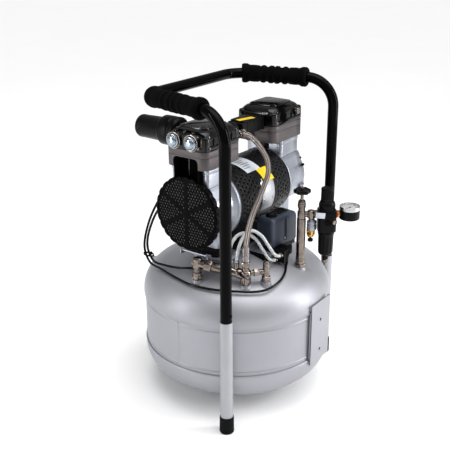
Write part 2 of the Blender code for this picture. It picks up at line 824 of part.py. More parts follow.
def pump_stand():
    """The sheet bracket on the tank's pads, its front wing and the two rubber mounts."""
    low, high = PAD_TOP + GAP, PAD_TOP + GAP + 0.003
    shelf = SWITCH_BASE_Z - GAP - 0.003
    plate = slab(0.264, 0.104, 0.008, low, high)
    piece = keep("pump_bracket", plate, CAST_ALUMINIUM, (PUMP_X, 0, 0), parent=TANK)
    step = box((-0.036, -0.056, shelf), (0.030, -0.053, high - 0.0005))
    tongue = box((-0.036, -0.0535, low + 0.0004), (0.030, -0.0500, high - 0.0005))
    wing = box((-0.036, -0.1040, shelf), (0.030, -0.0535, shelf + 0.003))
    gland = rod(0.006, MOTOR_CABLE[-1][2] + GAP, low + 0.002, 12)
    extra = [
        tool("bracket_step", step, parent=TANK),
        tool("bracket_tongue", tongue, parent=TANK),
        tool("bracket_wing", wing, parent=TANK),
        tool("bracket_gland", gland, (*MOTOR_CABLE[-1][:2], 0), parent=TANK),
    ]
    combine(piece, "UNION", extra)
    for side, x in (("left", -FOOT_X), ("right", FOOT_X)):
        mount = slab(0.040, 0.080, 0.010, high + GAP, SHAFT_Z - 0.077 - GAP, segments=2)
        keep(f"rubber_mount_{side}", mount, BLACK_RUBBER, (PUMP_X + x, 0, 0), parent=TANK)


# Fittings on the tank


def check_valve():
    """Inlet post with the sloping valve body that meets the tee's socket."""
    foot = [
        (0, BOSS_TOP + GAP),
        (0.0105, BOSS_TOP + GAP),
        (0.0105, 0.300),
        (0.0070, 0.301),
        (0.0070, 0.312),
        (0.0095, 0.313),
        (0.0095, 0.330),
        (0.0070, 0.333),
        (0, 0.333),
    ]
    post = keep("check_valve", spun(foot, 12), NICKEL, (*INLET_POST, 0), parent=TANK)
    bar = tool("check_valve_bar", sloped_bar(0.0, BAR_LENGTH - 0.042 - GAP, 0.0062), BAR_START)
    bar.rotation_euler = BAR_TURN
    bar.parent = TANK
    nut = tool("check_valve_nut", sloped_bar(0.016, 0.030, 0.0085), BAR_START)
    nut.rotation_euler = BAR_TURN
    nut.parent = TANK
    combine(post, "UNION", [bar, nut])


def sloped_bar(start, end, radius):
    return rod(radius, start, end, 12)


BAR_START = Vector((*INLET_POST, 0.322))
BAR_RUN = Vector((*TEE_POST, 0.306)) - BAR_START
BAR_LENGTH = BAR_RUN.length
BAR_TURN = BAR_RUN.to_track_quat("Z", "Y").to_euler()


def manifold_tee():
    """Block under the braided hose, with sockets to the check valve and to the second post."""
    column = [
        (0, BOSS_TOP + GAP),
        (0.0105, BOSS_TOP + GAP),
        (0.0105, 0.316),
        (0.0065, 0.317),
        (0.0065, 0.322),
        (0.0085, 0.323),
        (0.0085, 0.334),
        (0.0065, 0.335),
        (0.0065, 0.3522),
        (0, 0.3522),
    ]
    block = keep("manifold_tee", spun(column, 12), NICKEL, (*TEE_POST, 0), parent=TANK)
    socket = tool("tee_socket", sloped_bar(BAR_LENGTH - 0.042, BAR_LENGTH + 0.0013, 0.0075), BAR_START)
    socket.rotation_euler = BAR_TURN
    socket.parent = TANK
    run = Vector((*RELIEF_POST, 0.309)) - Vector((*TEE_POST, 0.309))
    arm = tool("tee_arm", rod(0.0048, -0.0017, run.length + 0.0011, 14), (*TEE_POST, 0.309), parent=TANK)
    arm.rotation_euler = run.to_track_quat("Z", "Y").to_euler()
    collar = tool("tee_collar", rod(0.0072, 0.016, 0.026, 10), (*TEE_POST, 0.309), parent=TANK)
    collar.rotation_euler = arm.rotation_euler
    post = [
        (0, BOSS_TOP + GAP),
        (0.0100, BOSS_TOP + GAP),
        (0.0100, 0.299),
        (0.0068, 0.300),
        (0.0068, 0.322),
        (0.0052, 0.323),
        (0.0052, 0.331),
        (0, 0.331),
    ]
    second = tool("tee_second_post", spun(post, 10), (*RELIEF_POST, 0), parent=TANK)
    ports = []
    for i, route in enumerate((CLEAR_TUBE_FRONT, CLEAR_TUBE_BACK)):
        x, y, z = route[0]
        ports.append(tool(f"tee_port_{i}", rod(0.0050, 0.309, z - GAP, 8), (x, y, 0), parent=TANK))
    combine(block, "UNION", [socket, arm, collar, second, *ports])


def pressure_switch():
    stand = empty("switch_stand", (*SWITCH_AT, 0), TANK, (0, 0, SWITCH_TURN))
    long, wide = SWITCH_SIZE
    plate = slab(long - 0.004, wide - 0.004, 0.004, SWITCH_BASE_Z, SWITCH_BASE_Z + 0.009, segments=2)
    base = keep("switch_base", plate, BLACK_PLASTIC, parent=stand)
    port_block = box((-0.0197, -0.1300, 0.3045), (-0.0060, -0.1050, 0.3300))
    gland_x, gland_y, gland_z = SUPPLY_CABLE[-1]
    gland_arm = box((-0.0070, -0.1300, gland_z + GAP), (0.0130, -0.1050, 0.3300))
    spare = rod(0.0070, 0.3100, 0.3280, 12)
    extra = [
        tool("switch_port_block", port_block, parent=TANK),
        tool("switch_gland_arm", gland_arm, parent=TANK),
        tool("switch_spare_gland", spare, (0.0420, -0.1030, 0), parent=TANK),
    ]
    combine(base, "UNION", extra)
    low = SWITCH_BASE_Z + 0.009 + GAP
    rings = [
        rounded(long - 0.002, wide - 0.002, 0.005, low),
        rounded(long, wide, 0.006, low + 0.004),
        rounded(long, wide, 0.006, SWITCH_TOP_Z - 0.006),
        rounded(long - 0.006, wide - 0.006, 0.005, SWITCH_TOP_Z),
    ]
    cover = keep("switch_cover", loft(rings), SWITCH_GREY, parent=stand)
    groove = box((-0.001, -wide / 2 - 0.01, low + 0.008), (0.005, -wide / 2 + 0.002, SWITCH_TOP_Z + 0.01))
    combine(cover, "DIFFERENCE", [tool("switch_groove", groove, parent=stand)])
    knob = spun([(0, 0), (0.010, 0), (0.0105, 0.002), (0.0095, 0.012), (0.008, 0.0135), (0, 0.0135)], 12)
    keep("switch_knob", knob, BLACK_PLASTIC, (-0.020, -0.002, SWITCH_TOP_Z + GAP), parent=stand)


# Outlet line


def outlet_valve():
    """Pipe from the tank, valve body with its gland, and the branch to the regulator."""
    profile = [
        (0, BOSS_TOP + GAP),
        (0.0110, BOSS_TOP + GAP),
        (0.0110, 0.301),
        (0.0078, 0.302),
        (0.0078, 0.386),
        (0.0098, 0.388),
        (0.0098, 0.413),
        (0.0080, 0.414),
        (0.0080, 0.428),
        (0.0066, 0.430),
        (0.0036, 0.430),
        (0.0036, 0.404),
        (0, 0.404),
    ]
    profile = [(radius, height - LINE_Z) for radius, height in profile]
    body = keep("outlet_valve", spun(profile, 14), NICKEL, parent=LINE)
    bore = REGULATOR_REACH - 0.0185 - GAP
    branch = tool("outlet_branch", rod(0.0062, 0.006, bore, 10), turn=ALONG_X, parent=LINE)
    stub = tool("outlet_stub", rod(0.0052, -0.0100, 0, 8), (RELIEF_REACH, 0, 0), parent=LINE)
    hollow = tool("outlet_stem_bore", rod(0.0036, 0.004, 0.05, 12), parent=LINE)
    combine(body, "UNION", [branch, stub])
    combine(body, "DIFFERENCE", [hollow])


def shut_off():
    """Rising stem with the lobed handwheel on it."""
    stem = [(0, 0.0045), (0.0032, 0.0045), (0.0032, 0.0440), (0.0022, 0.0445), (0.0022, 0.0560), (0, 0.0560)]
    keep("valve_stem", spun(stem, 12), BRASS, parent=LINE)
    lobes = 6
    outline = []
    for i in range(lobes * 4):
        angle = math.tau * i / (lobes * 4)
        radius = 0.0158 + 0.0014 * math.cos(lobes * angle)
        outline.append((radius * math.cos(angle), radius * math.sin(angle)))
    levels = [(0.88, 0.0447), (1.0, 0.0465), (1.0, 0.0505), (0.88, 0.0525)]
    wheel = loft([[(x * k, y * k, z) for x, y in outline] for k, z in levels])
    piece = keep("handwheel", wheel, BLACK_PLASTIC, parent=LINE)
    combine(piece, "DIFFERENCE", [tool("handwheel_bore", rod(0.0026, 0.03, 0.07, 12), parent=LINE)])


def relief_valve():
    at = (RELIEF_REACH, 0, 0)
    profile = [
        (0, -0.0103),
        (0.0055, -0.0103),
        (0.0055, -0.0150),
        (0.0082, -0.0160),
        (0.0082, -0.0320),
        (0.0062, -0.0325),
        (0.0062, -0.0480),
        (0.0025, -0.0480),
        (0.0025, -0.0400),
        (0, -0.0400),
    ]
    keep("relief_valve", spun(profile, 12), BRASS, at, parent=LINE)
    pull = [(0, -0.0405), (0.0021, -0.0405), (0.0021, -0.0520), (0.0055, -0.0525), (0.0055, -0.0575), (0, -0.0580)]
    keep("relief_pull", spun(pull, 12), BLACK_PLASTIC, at, parent=LINE)


def regulator():
    """Filter-regulator: body with bonnet, hidden screw, lift-to-turn knob, bowl and drain."""
    at = (REGULATOR_REACH, 0, 0)
    body = slab(0.037, 0.036, 0.008, -0.034, 0.010)
    piece = keep("regulator_body", body, BLACK_PLASTIC, at, parent=LINE)
    bonnet = tool("regulator_bonnet", rod(0.0165, 0.008, 0.028, 16, 0.001), at, parent=LINE)
    screw_bore = tool("regulator_bore", rod(0.0045, 0.012, 0.040, 12), at, parent=LINE)
    combine(piece, "UNION", [bonnet])
    combine(piece, "DIFFERENCE", [screw_bore])
    screw = rod(0.0040, 0.0125, 0.0440, 12)
    keep("regulator_screw", screw, STEEL, at, parent=LINE)
    knob = [
        (0.0044, 0.0283),
        (0.0128, 0.0283),
        (0.0132, 0.0310),
        (0.0128, 0.0530),
        (0.0105, 0.0555),
        (0, 0.0555),
        (0, 0.0490),
        (0.0044, 0.0490),
    ]
    keep("regulator_knob", spun(knob, 16), BLACK_PLASTIC, at, parent=LINE)
    bowl = [
        (0, -0.0343),
        (0.0150, -0.0343),
        (0.0165, -0.0360),
        (0.0165, -0.0420),
        (0.0155, -0.0430),
        (0.0150, -0.0820),
        (0.0110, -0.0860),
        (0.0065, -0.0870),
        (0.0065, -0.0960),
        (0.0032, -0.0960),
        (0.0032, -0.0900),
        (0, -0.0900),
    ]
    keep("regulator_bowl", spun(bowl, 16), BLACK_PLASTIC, at, parent=LINE)
    drain = [(0, -0.0905), (0.0028, -0.0905), (0.0028, -0.0965), (0.0060, -0.0970), (0.0060, -0.1060), (0.0035, -0.1100), (0, -0.1100)]
    keep("bowl_drain", spun(drain, 12), NICKEL, at, parent=LINE)


def gauge():
    at = (GAUGE_REACH, 0, 0)
    case = [
        (0, -0.0100),
        (0.0190, -0.0100),
        (0.0205, -0.0085),
        (0.0205, 0.0165),
        (0.0198, 0.0175),
        (0.0183, 0.0175),
        (0.0183, 0.0125),
        (0, 0.0125),
    ]
    piece = keep("gauge_case", spun(case, 20), BLACK_PLASTIC, at, parent=LINE)
    reach = GAUGE_REACH - REGULATOR_REACH
    stem = tool("gauge_stem", rod(0.0052, -reach + 0.0185 + GAP, -0.015, 12), at, ALONG_X, LINE)
    nut = tool("gauge_nut", rod(0.0068, -reach + 0.0195, -0.0212, 6), at, ALONG_X, LINE)
    combine(piece, "UNION", [stem, nut])
    needle = loft([[(-0.004, -0.0006, z), (0.0150, -0.0003, z), (0.0150, 0.0003, z), (-0.004, 0.0006, z)] for z in (0.0130, 0.0136)])
    pointer = keep("gauge_pointer", needle, BLACK_PAINT, at, (0, 0, 225), LINE)
    hub = tool("gauge_hub", rod(0.0018, 0.0129, 0.0145, 10), at, parent=LINE)
    combine(pointer, "UNION", [hub])


def hoses():
    tube("braided_hose", smooth_route(BRAIDED_HOSE), BRAIDED_HOSE_D, BRAID, TANK, 2)
    tube("clear_tube_front", smooth_route(CLEAR_TUBE_FRONT), CLEAR_TUBE_D, CLEAR_PLASTIC, TANK, 2)
    tube("clear_tube_back", smooth_route(CLEAR_TUBE_BACK), CLEAR_TUBE_D, CLEAR_PLASTIC, TANK, 2)
    tube("supply_cable", smooth_route(SUPPLY_CABLE), CABLE_D, BLACK_RUBBER, TANK, 2)
    tube("motor_cable", smooth_route(MOTOR_CABLE), CABLE_D, BLACK_RUBBER, TANK, 2)


tank()
tank_bracket()
for leg_side, leg_angle in LEG_ANGLES.items():
    leg(leg_side, leg_angle)
handle()
for end_name, end_side in (("left", -1), ("right", 1)):
    crankcase(f"crankcase_{end_name}", end_side)
    cylinder_block(f"cylinder_block_{end_name}", end_side)
    cylinder_head(f"cylinder_head_{end_name}", end_side)
    fan_grille(f"fan_grille_{end_name}", end_side, GRILLE_R if end_side < 0 else END_COVER_R)
    piston(f"piston_{end_name}", end_side)
rotor()
motor()
head_plug("head_plug_front", -0.014)
head_plug("head_plug_back", 0.027)
crossover()
intake_filter()
pump_stand()
check_valve()
manifold_tee()
pressure_switch()
outlet_valve()
shut_off()
relief_valve()
regulator()
gauge()
hoses()
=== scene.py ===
"""Looks of the air compressor: every visible piece, its materials, a pale floor and soft light."""

import math

import bmesh
import bpy
from mathutils import Euler, Matrix, Vector


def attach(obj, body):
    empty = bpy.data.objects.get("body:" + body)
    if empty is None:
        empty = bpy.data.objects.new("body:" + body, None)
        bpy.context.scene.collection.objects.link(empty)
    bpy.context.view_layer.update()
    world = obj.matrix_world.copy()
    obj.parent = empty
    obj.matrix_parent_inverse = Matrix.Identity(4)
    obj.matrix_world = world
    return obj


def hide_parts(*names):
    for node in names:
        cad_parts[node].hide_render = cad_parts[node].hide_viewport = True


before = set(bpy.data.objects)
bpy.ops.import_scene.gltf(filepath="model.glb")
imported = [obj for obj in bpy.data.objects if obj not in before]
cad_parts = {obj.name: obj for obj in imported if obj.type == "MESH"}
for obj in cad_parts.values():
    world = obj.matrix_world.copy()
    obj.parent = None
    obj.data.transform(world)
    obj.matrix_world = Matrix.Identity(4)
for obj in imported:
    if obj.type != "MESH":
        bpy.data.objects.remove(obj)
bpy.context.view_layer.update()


def about(axis, degrees):
    return Matrix.Rotation(math.radians(degrees), 4, axis)


# Places, as in the CAD part
TANK_Y = 0.00143
SHAFT_Z = 0.427
LINE_Z = 0.400
PUMP_X = 0.008
CHECK_AT, TEE_AT, POST_AT, OUTLET_AT = (-0.148, -0.010), (-0.112, -0.100), (-0.080, -0.126), (0.021, -0.143)
STUDS = [(x, y) for x in (-0.082, 0.098) for y in (-0.036, 0.036)]
ROOT = Matrix.Translation((0, TANK_Y, 0))
PUMP = ROOT @ Matrix.Translation((PUMP_X, 0, SHAFT_Z))
LINE = ROOT @ Matrix.Translation((*OUTLET_AT, LINE_Z)) @ about("Z", -54)
SWITCH = ROOT @ Matrix.Translation((0.018, -0.088, 0)) @ about("Z", -8)
ALONG_X = (0, 90, 0)

# Camera: the photograph's view
camera = bpy.data.objects.new("camera", bpy.data.cameras.new("camera"))
bpy.context.scene.collection.objects.link(camera)
CAMERA_AT = (-1.24441, -0.87468 + TANK_Y, 0.94375)
CAMERA_RIGHT = Vector((0.585762, -0.810454, -0.006851))
CAMERA_UP = Vector((0.297634, 0.207239, 0.931915))
CAMERA_AHEAD = Vector((0.753855, 0.547919, -0.362611))
SENSOR_MM, LENS_MM = 36.0, 62.5565
facing = Matrix((CAMERA_RIGHT, CAMERA_UP, -CAMERA_AHEAD)).transposed().to_4x4()
camera.matrix_world = Matrix.Translation(CAMERA_AT) @ facing
camera.data.sensor_width = SENSOR_MM
camera.data.lens = LENS_MM
bpy.context.scene.camera = camera


# Materials


def material(name, colour, rough, metal=0.0, grain=300.0, bump=0.1, depth=0.0002, vary=0.12, patch=14.0,
             rough_vary=0.1, sheen=0.0, clear=0.0, ior=1.5, alpha=1.0, streak=None, shine=0.5):
    """Principled material: a broad stain, a fine grain in roughness and height, and optional brushing; where
    vary is large, as on the nickel, the broad blotches are painted reflection.
    """
    made = bpy.data.materials.new(name)
    made.use_nodes = True
    nodes, links = made.node_tree.nodes, made.node_tree.links
    shader = nodes["Principled BSDF"]
    shader.inputs["Metallic"].default_value = metal
    shader.inputs["IOR"].default_value = ior
    shader.inputs["Specular IOR Level"].default_value = shine
    shader.inputs["Sheen Weight"].default_value = sheen
    shader.inputs["Transmission Weight"].default_value = clear
    shader.inputs["Alpha"].default_value = alpha
    place = nodes.new("ShaderNodeTexCoord").outputs["Object"]
    if streak:
        stretch = nodes.new("ShaderNodeMapping")
        stretch.inputs["Scale"].default_value = streak
        links.new(place, stretch.inputs["Vector"])
        fine_place = stretch.outputs["Vector"]
    else:
        fine_place = place

    def noise(vector, scale, detail):
        node = nodes.new("ShaderNodeTexNoise")
        node.inputs["Scale"].default_value = scale
        node.inputs["Detail"].default_value = detail
        node.inputs["Roughness"].default_value = 0.6
        links.new(vector, node.inputs["Vector"])
        return node.outputs["Fac"]

    def ramp(value, low, high, target):
        node = nodes.new("ShaderNodeMapRange")
        node.inputs["From Min"].default_value = 0.3
        node.inputs["From Max"].default_value = 0.7
        node.inputs["To Min"].default_value = low
        node.inputs["To Max"].default_value = high
        links.new(value, node.inputs["Value"])
        if target:
            links.new(node.outputs["Result"], target)
        return node.outputs["Result"]

    broad = noise(place, patch, 5.0)
    fine = noise(fine_place, grain, 3.0)
    blend = nodes.new("ShaderNodeMix")
    blend.data_type = "RGBA"
    blend.inputs["A"].default_value = (*[c * (1 - vary) for c in colour], 1)
    blend.inputs["B"].default_value = (*[min(c * (1 + vary) + vary * 0.001, 1) for c in colour], 1)
    total = nodes.new("ShaderNodeMath")
    total.operation = "MULTIPLY_ADD"
    total.inputs[1].default_value = 0.35
    links.new(fine, total.inputs[0])
    links.new(ramp(broad, 0.0, 0.65, None), total.inputs[2])
    links.new(total.outputs["Value"], blend.inputs["Factor"])
    links.new(blend.outputs["Result"], shader.inputs["Base Color"])
    ramp(fine, max(rough - rough_vary, 0.03), min(rough + rough_vary, 1.0), shader.inputs["Roughness"])
    height = nodes.new("ShaderNodeBump")
    height.inputs["Strength"].default_value = bump
    height.inputs["Distance"].default_value = depth
    links.new(fine, height.inputs["Height"])
    links.new(height.outputs["Normal"], shader.inputs["Normal"])
    return made


SILVER = material("tank_paint", (0.338, 0.342, 0.372), 0.47, 0.6, 1900, 0.10, 0.0001, 0.07, 9, 0.07)
LEG_PAINT = material("leg_paint", (0.365, 0.370, 0.396), 0.42, 0.45, 1500, 0.10, 0.0001, 0.07, 16, 0.08)
GLOSS_BLACK = material("handle_paint", (0.0010, 0.0010, 0.0013), 0.09, 0.0, 260, 0.05, 0.0002, 0.2, 20, 0.03,
                       shine=0.05)
HEAD_BLACK = material("head_paint", (0.0012, 0.0012, 0.0016), 0.12, 0.0, 420, 0.08, 0.0002, 0.3, 25, 0.04,
                      shine=0.32)
RUBBER = material("foot_rubber", (0.0035, 0.0035, 0.0035), 0.75, 0.0, 700, 0.25, 0.0002, 0.35, 30, shine=0.09)
FOAM = material("grip_foam", (0.0016, 0.0016, 0.0020), 0.95, 0.0, 1300, 0.85, 0.0006, 0.45, 60, 0.05,
                sheen=0.004, shine=0.05)
CAST = material("cast_aluminium", (0.345, 0.365, 0.415), 0.34, 0.75, 850, 0.45, 0.0003, 0.26, 34, 0.12)
BLOCK = material("dark_aluminium", (0.084, 0.072, 0.074), 0.46, 0.4, 700, 0.30, 0.0003, 0.16, 22, 0.10,
                 shine=0.4)
PLASTIC = material("black_plastic", (0.0022, 0.0022, 0.0026), 0.33, 0.0, 900, 0.22, 0.0002, 0.25, 30, 0.08,
                   shine=0.10)
GRILLE = material("grille_plastic", (0.0008, 0.0008, 0.0010), 0.30, 0.0, 700, 0.15, 0.0002, 0.25, 30, 0.08,
                  shine=0.03)
SHEET = material("motor_sheet", (0.0062, 0.0064, 0.0072), 0.30, 0.0, 500, 0.15, 0.0002, 0.3, 30, 0.08,
                 shine=0.13)
# Near-black: painted shade inside the crankcase windows and the motor shell, and the gauge's printed ticks.
DARK = material("inner_dark", (0.0010, 0.0010, 0.0010), 0.9, 0.0, 300, 0.1, shine=0.05)
FILTER = material("filter_felt", (0.150, 0.152, 0.158), 0.9, 0.0, 900, 0.7, 0.0004, 0.35, 60, shine=0.2)
STEEL = material("bare_steel", (0.52, 0.52, 0.54), 0.28, 1.0, 500, 0.12, 0.0002, 0.12, 25, 0.10)
LAMINATION = material("lamination", (0.52, 0.53, 0.56), 0.40, 0.7, 900, 0.6, 0.0004, 0.22, 30, 0.12,
                      streak=(1.6, 0.05, 0.05))
# Nickel fittings: the strong broad blotches (vary 0.55, patch 95) are painted reflection, dark and light patches
# standing in for what the metal mirrors.
NICKEL_PAINTED_REFLECTION = material("nickel", (0.200, 0.168, 0.148), 0.14, 1.0, 350, 0.08, 0.0002, 0.55, 95, 0.07)
ZINC = material("zinc_plug", (0.30, 0.36, 0.42), 0.17, 1.0, 350, 0.06, 0.0002, 0.12, 60, 0.07)
FERRULE = material("ferrule", (0.25, 0.225, 0.225), 0.28, 0.9, 400, 0.10, 0.0002, 0.30, 90, 0.08)
BRASS = material("brass", (0.58, 0.33, 0.09), 0.22, 1.0, 350, 0.10, 0.0002, 0.15, 40, 0.10)
SLATE = material("switch_grey", (0.029, 0.037, 0.056), 0.36, 0.0, 1100, 0.35, 0.0002, 0.12, 30, 0.06,
                 shine=0.26)
CABLE = material("cable_black", (0.0014, 0.0014, 0.0014), 0.22, 0.0, 600, 0.15, 0.0002, 0.25, 40, shine=0.14)
CLEAR = material("clear_plastic", (0.93, 0.95, 0.95), 0.13, 0.0, 500, 0.05, 0.0001, 0.04, 40, 0.05,
                 clear=0.62, ior=1.42)
WHITE_LABEL = material("white_label", (0.55, 0.58, 0.63), 0.42, 0.0, 900, 0.05, 0.0001, 0.06, 60, 0.05)
YELLOW_LABEL = material("yellow_label", (0.80, 0.53, 0.004), 0.40, 0.0, 900, 0.05, 0.0001, 0.08, 60, 0.05)
GREY_MARK = material("grey_mark", (0.14, 0.15, 0.17), 0.5, 0.0, 900, 0.05)
DIAL = material("dial_face", (0.50, 0.50, 0.48), 0.5, 0.0, 900, 0.03, 0.0001, 0.04)
LENS = material("gauge_lens", (0.95, 0.96, 0.96), 0.05, 0.0, 300, 0.02, 0.0001, 0.02, 30, 0.02, clear=0.92,
                ior=1.3, alpha=0.3)
RED = material("red_plastic", (0.40, 0.010, 0.010), 0.42, 0.0, 700, 0.1)
FLOOR = material("floor", (0.93, 0.93, 0.93), 0.8, 0.0, 60, 0.03, 0.0005, 0.01, 2, shine=0.2)


def braided():
    """Two crossing sets of wires, from the tube's own length and girth coordinates; the weave's low spots take a
    darker tone as painted shade between the wires, and lengthwise dark bands are painted shade and sheen along
    the hose.
    """
    made = material("steel_braid", (0.47, 0.39, 0.36), 0.34, 0.85, 500, 0.0, 0.0001, 0.1, 40, 0.08)
    nodes, links = made.node_tree.nodes, made.node_tree.links
    place = nodes.new("ShaderNodeUVMap").outputs["UV"]
    heights = []
    for turn in (1, -1):
        lean = nodes.new("ShaderNodeMapping")
        lean.inputs["Rotation"].default_value = (0, 0, turn * math.radians(35))
        links.new(place, lean.inputs["Vector"])
        wave = nodes.new("ShaderNodeTexWave")
        wave.inputs["Scale"].default_value = 3.4
        links.new(lean.outputs["Vector"], wave.inputs["Vector"])
        heights.append(wave.outputs["Fac"])
    checks = nodes.new("ShaderNodeTexChecker")
    checks.inputs["Scale"].default_value = 2.0
    links.new(place, checks.inputs["Vector"])
    woven = nodes.new("ShaderNodeMix")
    links.new(checks.outputs["Fac"], woven.inputs["Factor"])
    links.new(heights[0], woven.inputs["A"])
    links.new(heights[1], woven.inputs["B"])
    bump = nodes.new("ShaderNodeBump")
    bump.inputs["Strength"].default_value = 0.9
    bump.inputs["Distance"].default_value = 0.0005
    links.new(woven.outputs["Result"], bump.inputs["Height"])
    shader = nodes["Principled BSDF"]
    links.new(bump.outputs["Normal"], shader.inputs["Normal"])
    # The weave's height also sets the colour: darker where it sits low, painted shade between the wires.
    tone = nodes.new("ShaderNodeMix")
    tone.data_type = "RGBA"
    tone.inputs["A"].default_value = (0.27, 0.23, 0.215, 1)
    tone.inputs["B"].default_value = (0.76, 0.68, 0.64, 1)
    links.new(woven.outputs["Result"], tone.inputs["Factor"])
    # Dark lengthwise bands around the girth: painted shade and sheen lines along the hose's cover.
    painted_sheen_bands = nodes.new("ShaderNodeTexWave")
    painted_sheen_bands.inputs["Scale"].default_value = 0.12
    links.new(place, painted_sheen_bands.inputs["Vector"])
    shade = nodes.new("ShaderNodeMix")
    shade.data_type = "RGBA"
    shade.inputs["A"].default_value = (0.10, 0.075, 0.07, 1)
    links.new(painted_sheen_bands.outputs["Fac"], shade.inputs["Factor"])
    links.new(tone.outputs["Result"], shade.inputs["B"])
    links.new(shade.outputs["Result"], shader.inputs["Base Color"])
    return made


BRAID = braided()


# Building blocks


def spun(profile, steps=72):
    """A body of revolution about Z, from a closed outline of (radius, height) points."""
    bm = bmesh.new()
    ring = [bm.verts.new((radius, 0.0, height)) for radius, height in profile]
    pairs = zip(ring, ring[1:] + ring[:1])
    edges = [bm.edges.new(pair) for pair in pairs if pair[0].co.x + pair[1].co.x > 1e-9]
    bmesh.ops.spin(bm, geom=ring + edges, cent=(0, 0, 0), axis=(0, 0, 1), angle=math.tau,
                   steps=steps, use_merge=True, use_duplicate=False)
    bmesh.ops.remove_doubles(bm, verts=bm.verts, dist=1e-6)
    return bm


def eased(profile, radius=0.0006, cuts=2):
    """The closed outline with each corner rounded, apart from those on the axis."""
    points = [Vector((x, y)) for x, y in profile]
    out = []
    count = len(points)
    for i, corner in enumerate(points):
        before, after = points[i - 1], points[(i + 1) % count]
        if corner.x < 1e-9:
            out.append(tuple(corner))
            continue
        reach_in = min(radius, (before - corner).length * 0.45)
        reach_out = min(radius, (after - corner).length * 0.45)
        start = corner + (before - corner).normalized() * reach_in
        end = corner + (after - corner).normalized() * reach_out
        for k in range(cuts + 1):
            t = k / cuts
            point = start * (1 - t) ** 2 + corner * 2 * t * (1 - t) + end * t**2
            out.append(tuple(point))
    return out


def turned(profile, ease=0.0006, steps=72):
    return spun(eased(profile, ease), steps)


def rod(radius, low, high, ease=0.0005, steps=48):
    return turned([(0, low), (radius, low), (radius, high), (0, high)], ease, steps)


def ring(outer, inner, low, high, ease=0.0005, steps=72):
    return turned([(outer, low), (outer, high), (inner, high), (inner, low)], ease, steps)


def skin(rings, wraps=False, around=True):
    """Faces between rings of points: around closes each ring, and wraps joins the last ring to the first."""
    bm = bmesh.new()
    loops = [[bm.verts.new(point) for point in points] for points in rings]
    for lower, upper in zip(loops, loops[1:] + (loops[:1] if wraps else [])):
        for i in range(len(lower) if around else len(lower) - 1):
            j = (i + 1) % len(lower)
            bm.faces.new((lower[i], lower[j], upper[j], upper[i]))
    return bm, loops


def tube_of(rings):
    """A ring-shaped body, closed both ways."""
    return skin(rings, wraps=True)[0]


def circle(radius, z, count):
    return [(radius * math.cos(math.tau * i / count), radius * math.sin(math.tau * i / count),
             z) for i in range(count)]


def loft(rings):
    bm, loops = skin(rings)
    bm.faces.new(list(reversed(loops[0])))
    bm.faces.new(loops[-1])
    return bm


def rounded(long, wide, radius, z, segments=8):
    points = []
    for quarter, (sx, sy) in enumerate([(1, 1), (-1, 1), (-1, -1), (1, -1)]):
        for i in range(segments + 1):
            angle = math.pi / 2 * (quarter + i / segments)
            x = sx * (long / 2 - radius) + radius * math.cos(angle)
            y = sy * (wide / 2 - radius) + radius * math.sin(angle)
            points.append((x, y, z))
    return points


def slab(long, wide, radius, low, high, edge=0.0012, segments=8):
    """A rounded block with its top and bottom rims eased."""
    rings = []
    for z, inset in ((low, edge), (low + edge * 0.3, edge * 0.3), (low + edge, 0), (high - edge, 0),
                     (high - edge * 0.3, edge * 0.3), (high, edge)):
        rings.append(rounded(long - 2 * inset, wide - 2 * inset, max(radius - inset, 0.0004), z, segments))
    return loft(rings)


def box(low, high, edge=0.0008):
    low, high = Vector(low), Vector(high)
    bm = bmesh.new()
    bmesh.ops.create_cube(bm, size=1.0)
    bmesh.ops.scale(bm, vec=high - low, verts=bm.verts)
    bmesh.ops.translate(bm, vec=(low + high) / 2, verts=bm.verts)
    if edge:
        bmesh.ops.bevel(bm, geom=bm.edges, offset=edge, segments=2, affect="EDGES", profile=0.6)
    return bm


def hexagon(across, low, high):
    """A hexagonal nut with turned ends, by its width across flats."""
    corner = across / math.sqrt(3)
    rings = []
    for z, reach in ((low, across / 2), (low + 0.0008, corner), (high - 0.0008, corner), (high, across / 2)):
        points = []
        for i in range(24):
            angle = math.tau * i / 24
            flat = (across / 2) / math.cos((angle + math.pi / 6) % (math.pi / 3) - math.pi / 6)
            points.append((min(flat, reach) * math.cos(angle), min(flat, reach) * math.sin(angle), z))
        rings.append(points)
    return loft(rings)


def put(bm, at=(0, 0, 0), turn=(0, 0, 0)):
    spin = Euler([math.radians(angle) for angle in turn]).to_matrix().to_4x4()
    bm.transform(Matrix.Translation(at) @ spin)
    return bm


def aim(bm, start, end):
    """Stands a body made along Z on the line from start to end."""
    run = Vector(end) - Vector(start)
    bm.transform(Matrix.Translation(start) @ run.to_track_quat("Z", "Y").to_matrix().to_4x4())
    return bm


def join(*parts):
    whole = bmesh.new()
    for part in parts:
        mesh = bpy.data.meshes.new("part")
        part.to_mesh(mesh)
        part.free()
        whole.from_mesh(mesh)
        bpy.data.meshes.remove(mesh)
    return whole


def add(name, bm, look, base=ROOT, body="frame", node=(), sharp=38):
    """Makes the piece, lets it ride on its body and stand for its CAD nodes."""
    bmesh.ops.recalc_face_normals(bm, faces=bm.faces)
    bm.transform(base)
    mesh = bpy.data.meshes.new(name)
    bm.to_mesh(mesh)
    bm.free()
    mesh.shade_smooth()
    mesh.set_sharp_from_angle(angle=math.radians(sharp))
    mesh.materials.append(look)
    piece = bpy.data.objects.new(name, mesh)
    bpy.context.scene.collection.objects.link(piece)
    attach(piece, body)
    if node:
        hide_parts(*([node] if isinstance(node, str) else node))
    return piece


def smooth_route(points, per_span=2):
    """The CAD's route: straight over its first and last run, smooth between."""
    knots = [Vector(point) for point in points]
    route = [knots[0]]
    for a, b, c, d in zip(knots, knots[1:], knots[2:], knots[3:]):
        for i in range(per_span):
            t = i / per_span
            route.append(0.5 * (2 * b + (c - a) * t + (2 * a - 5 * b + 4 * c - d) * t**2
                                + (3 * b - a - 3 * c + d) * t**3))
    return [*route, knots[-2], knots[-1]]


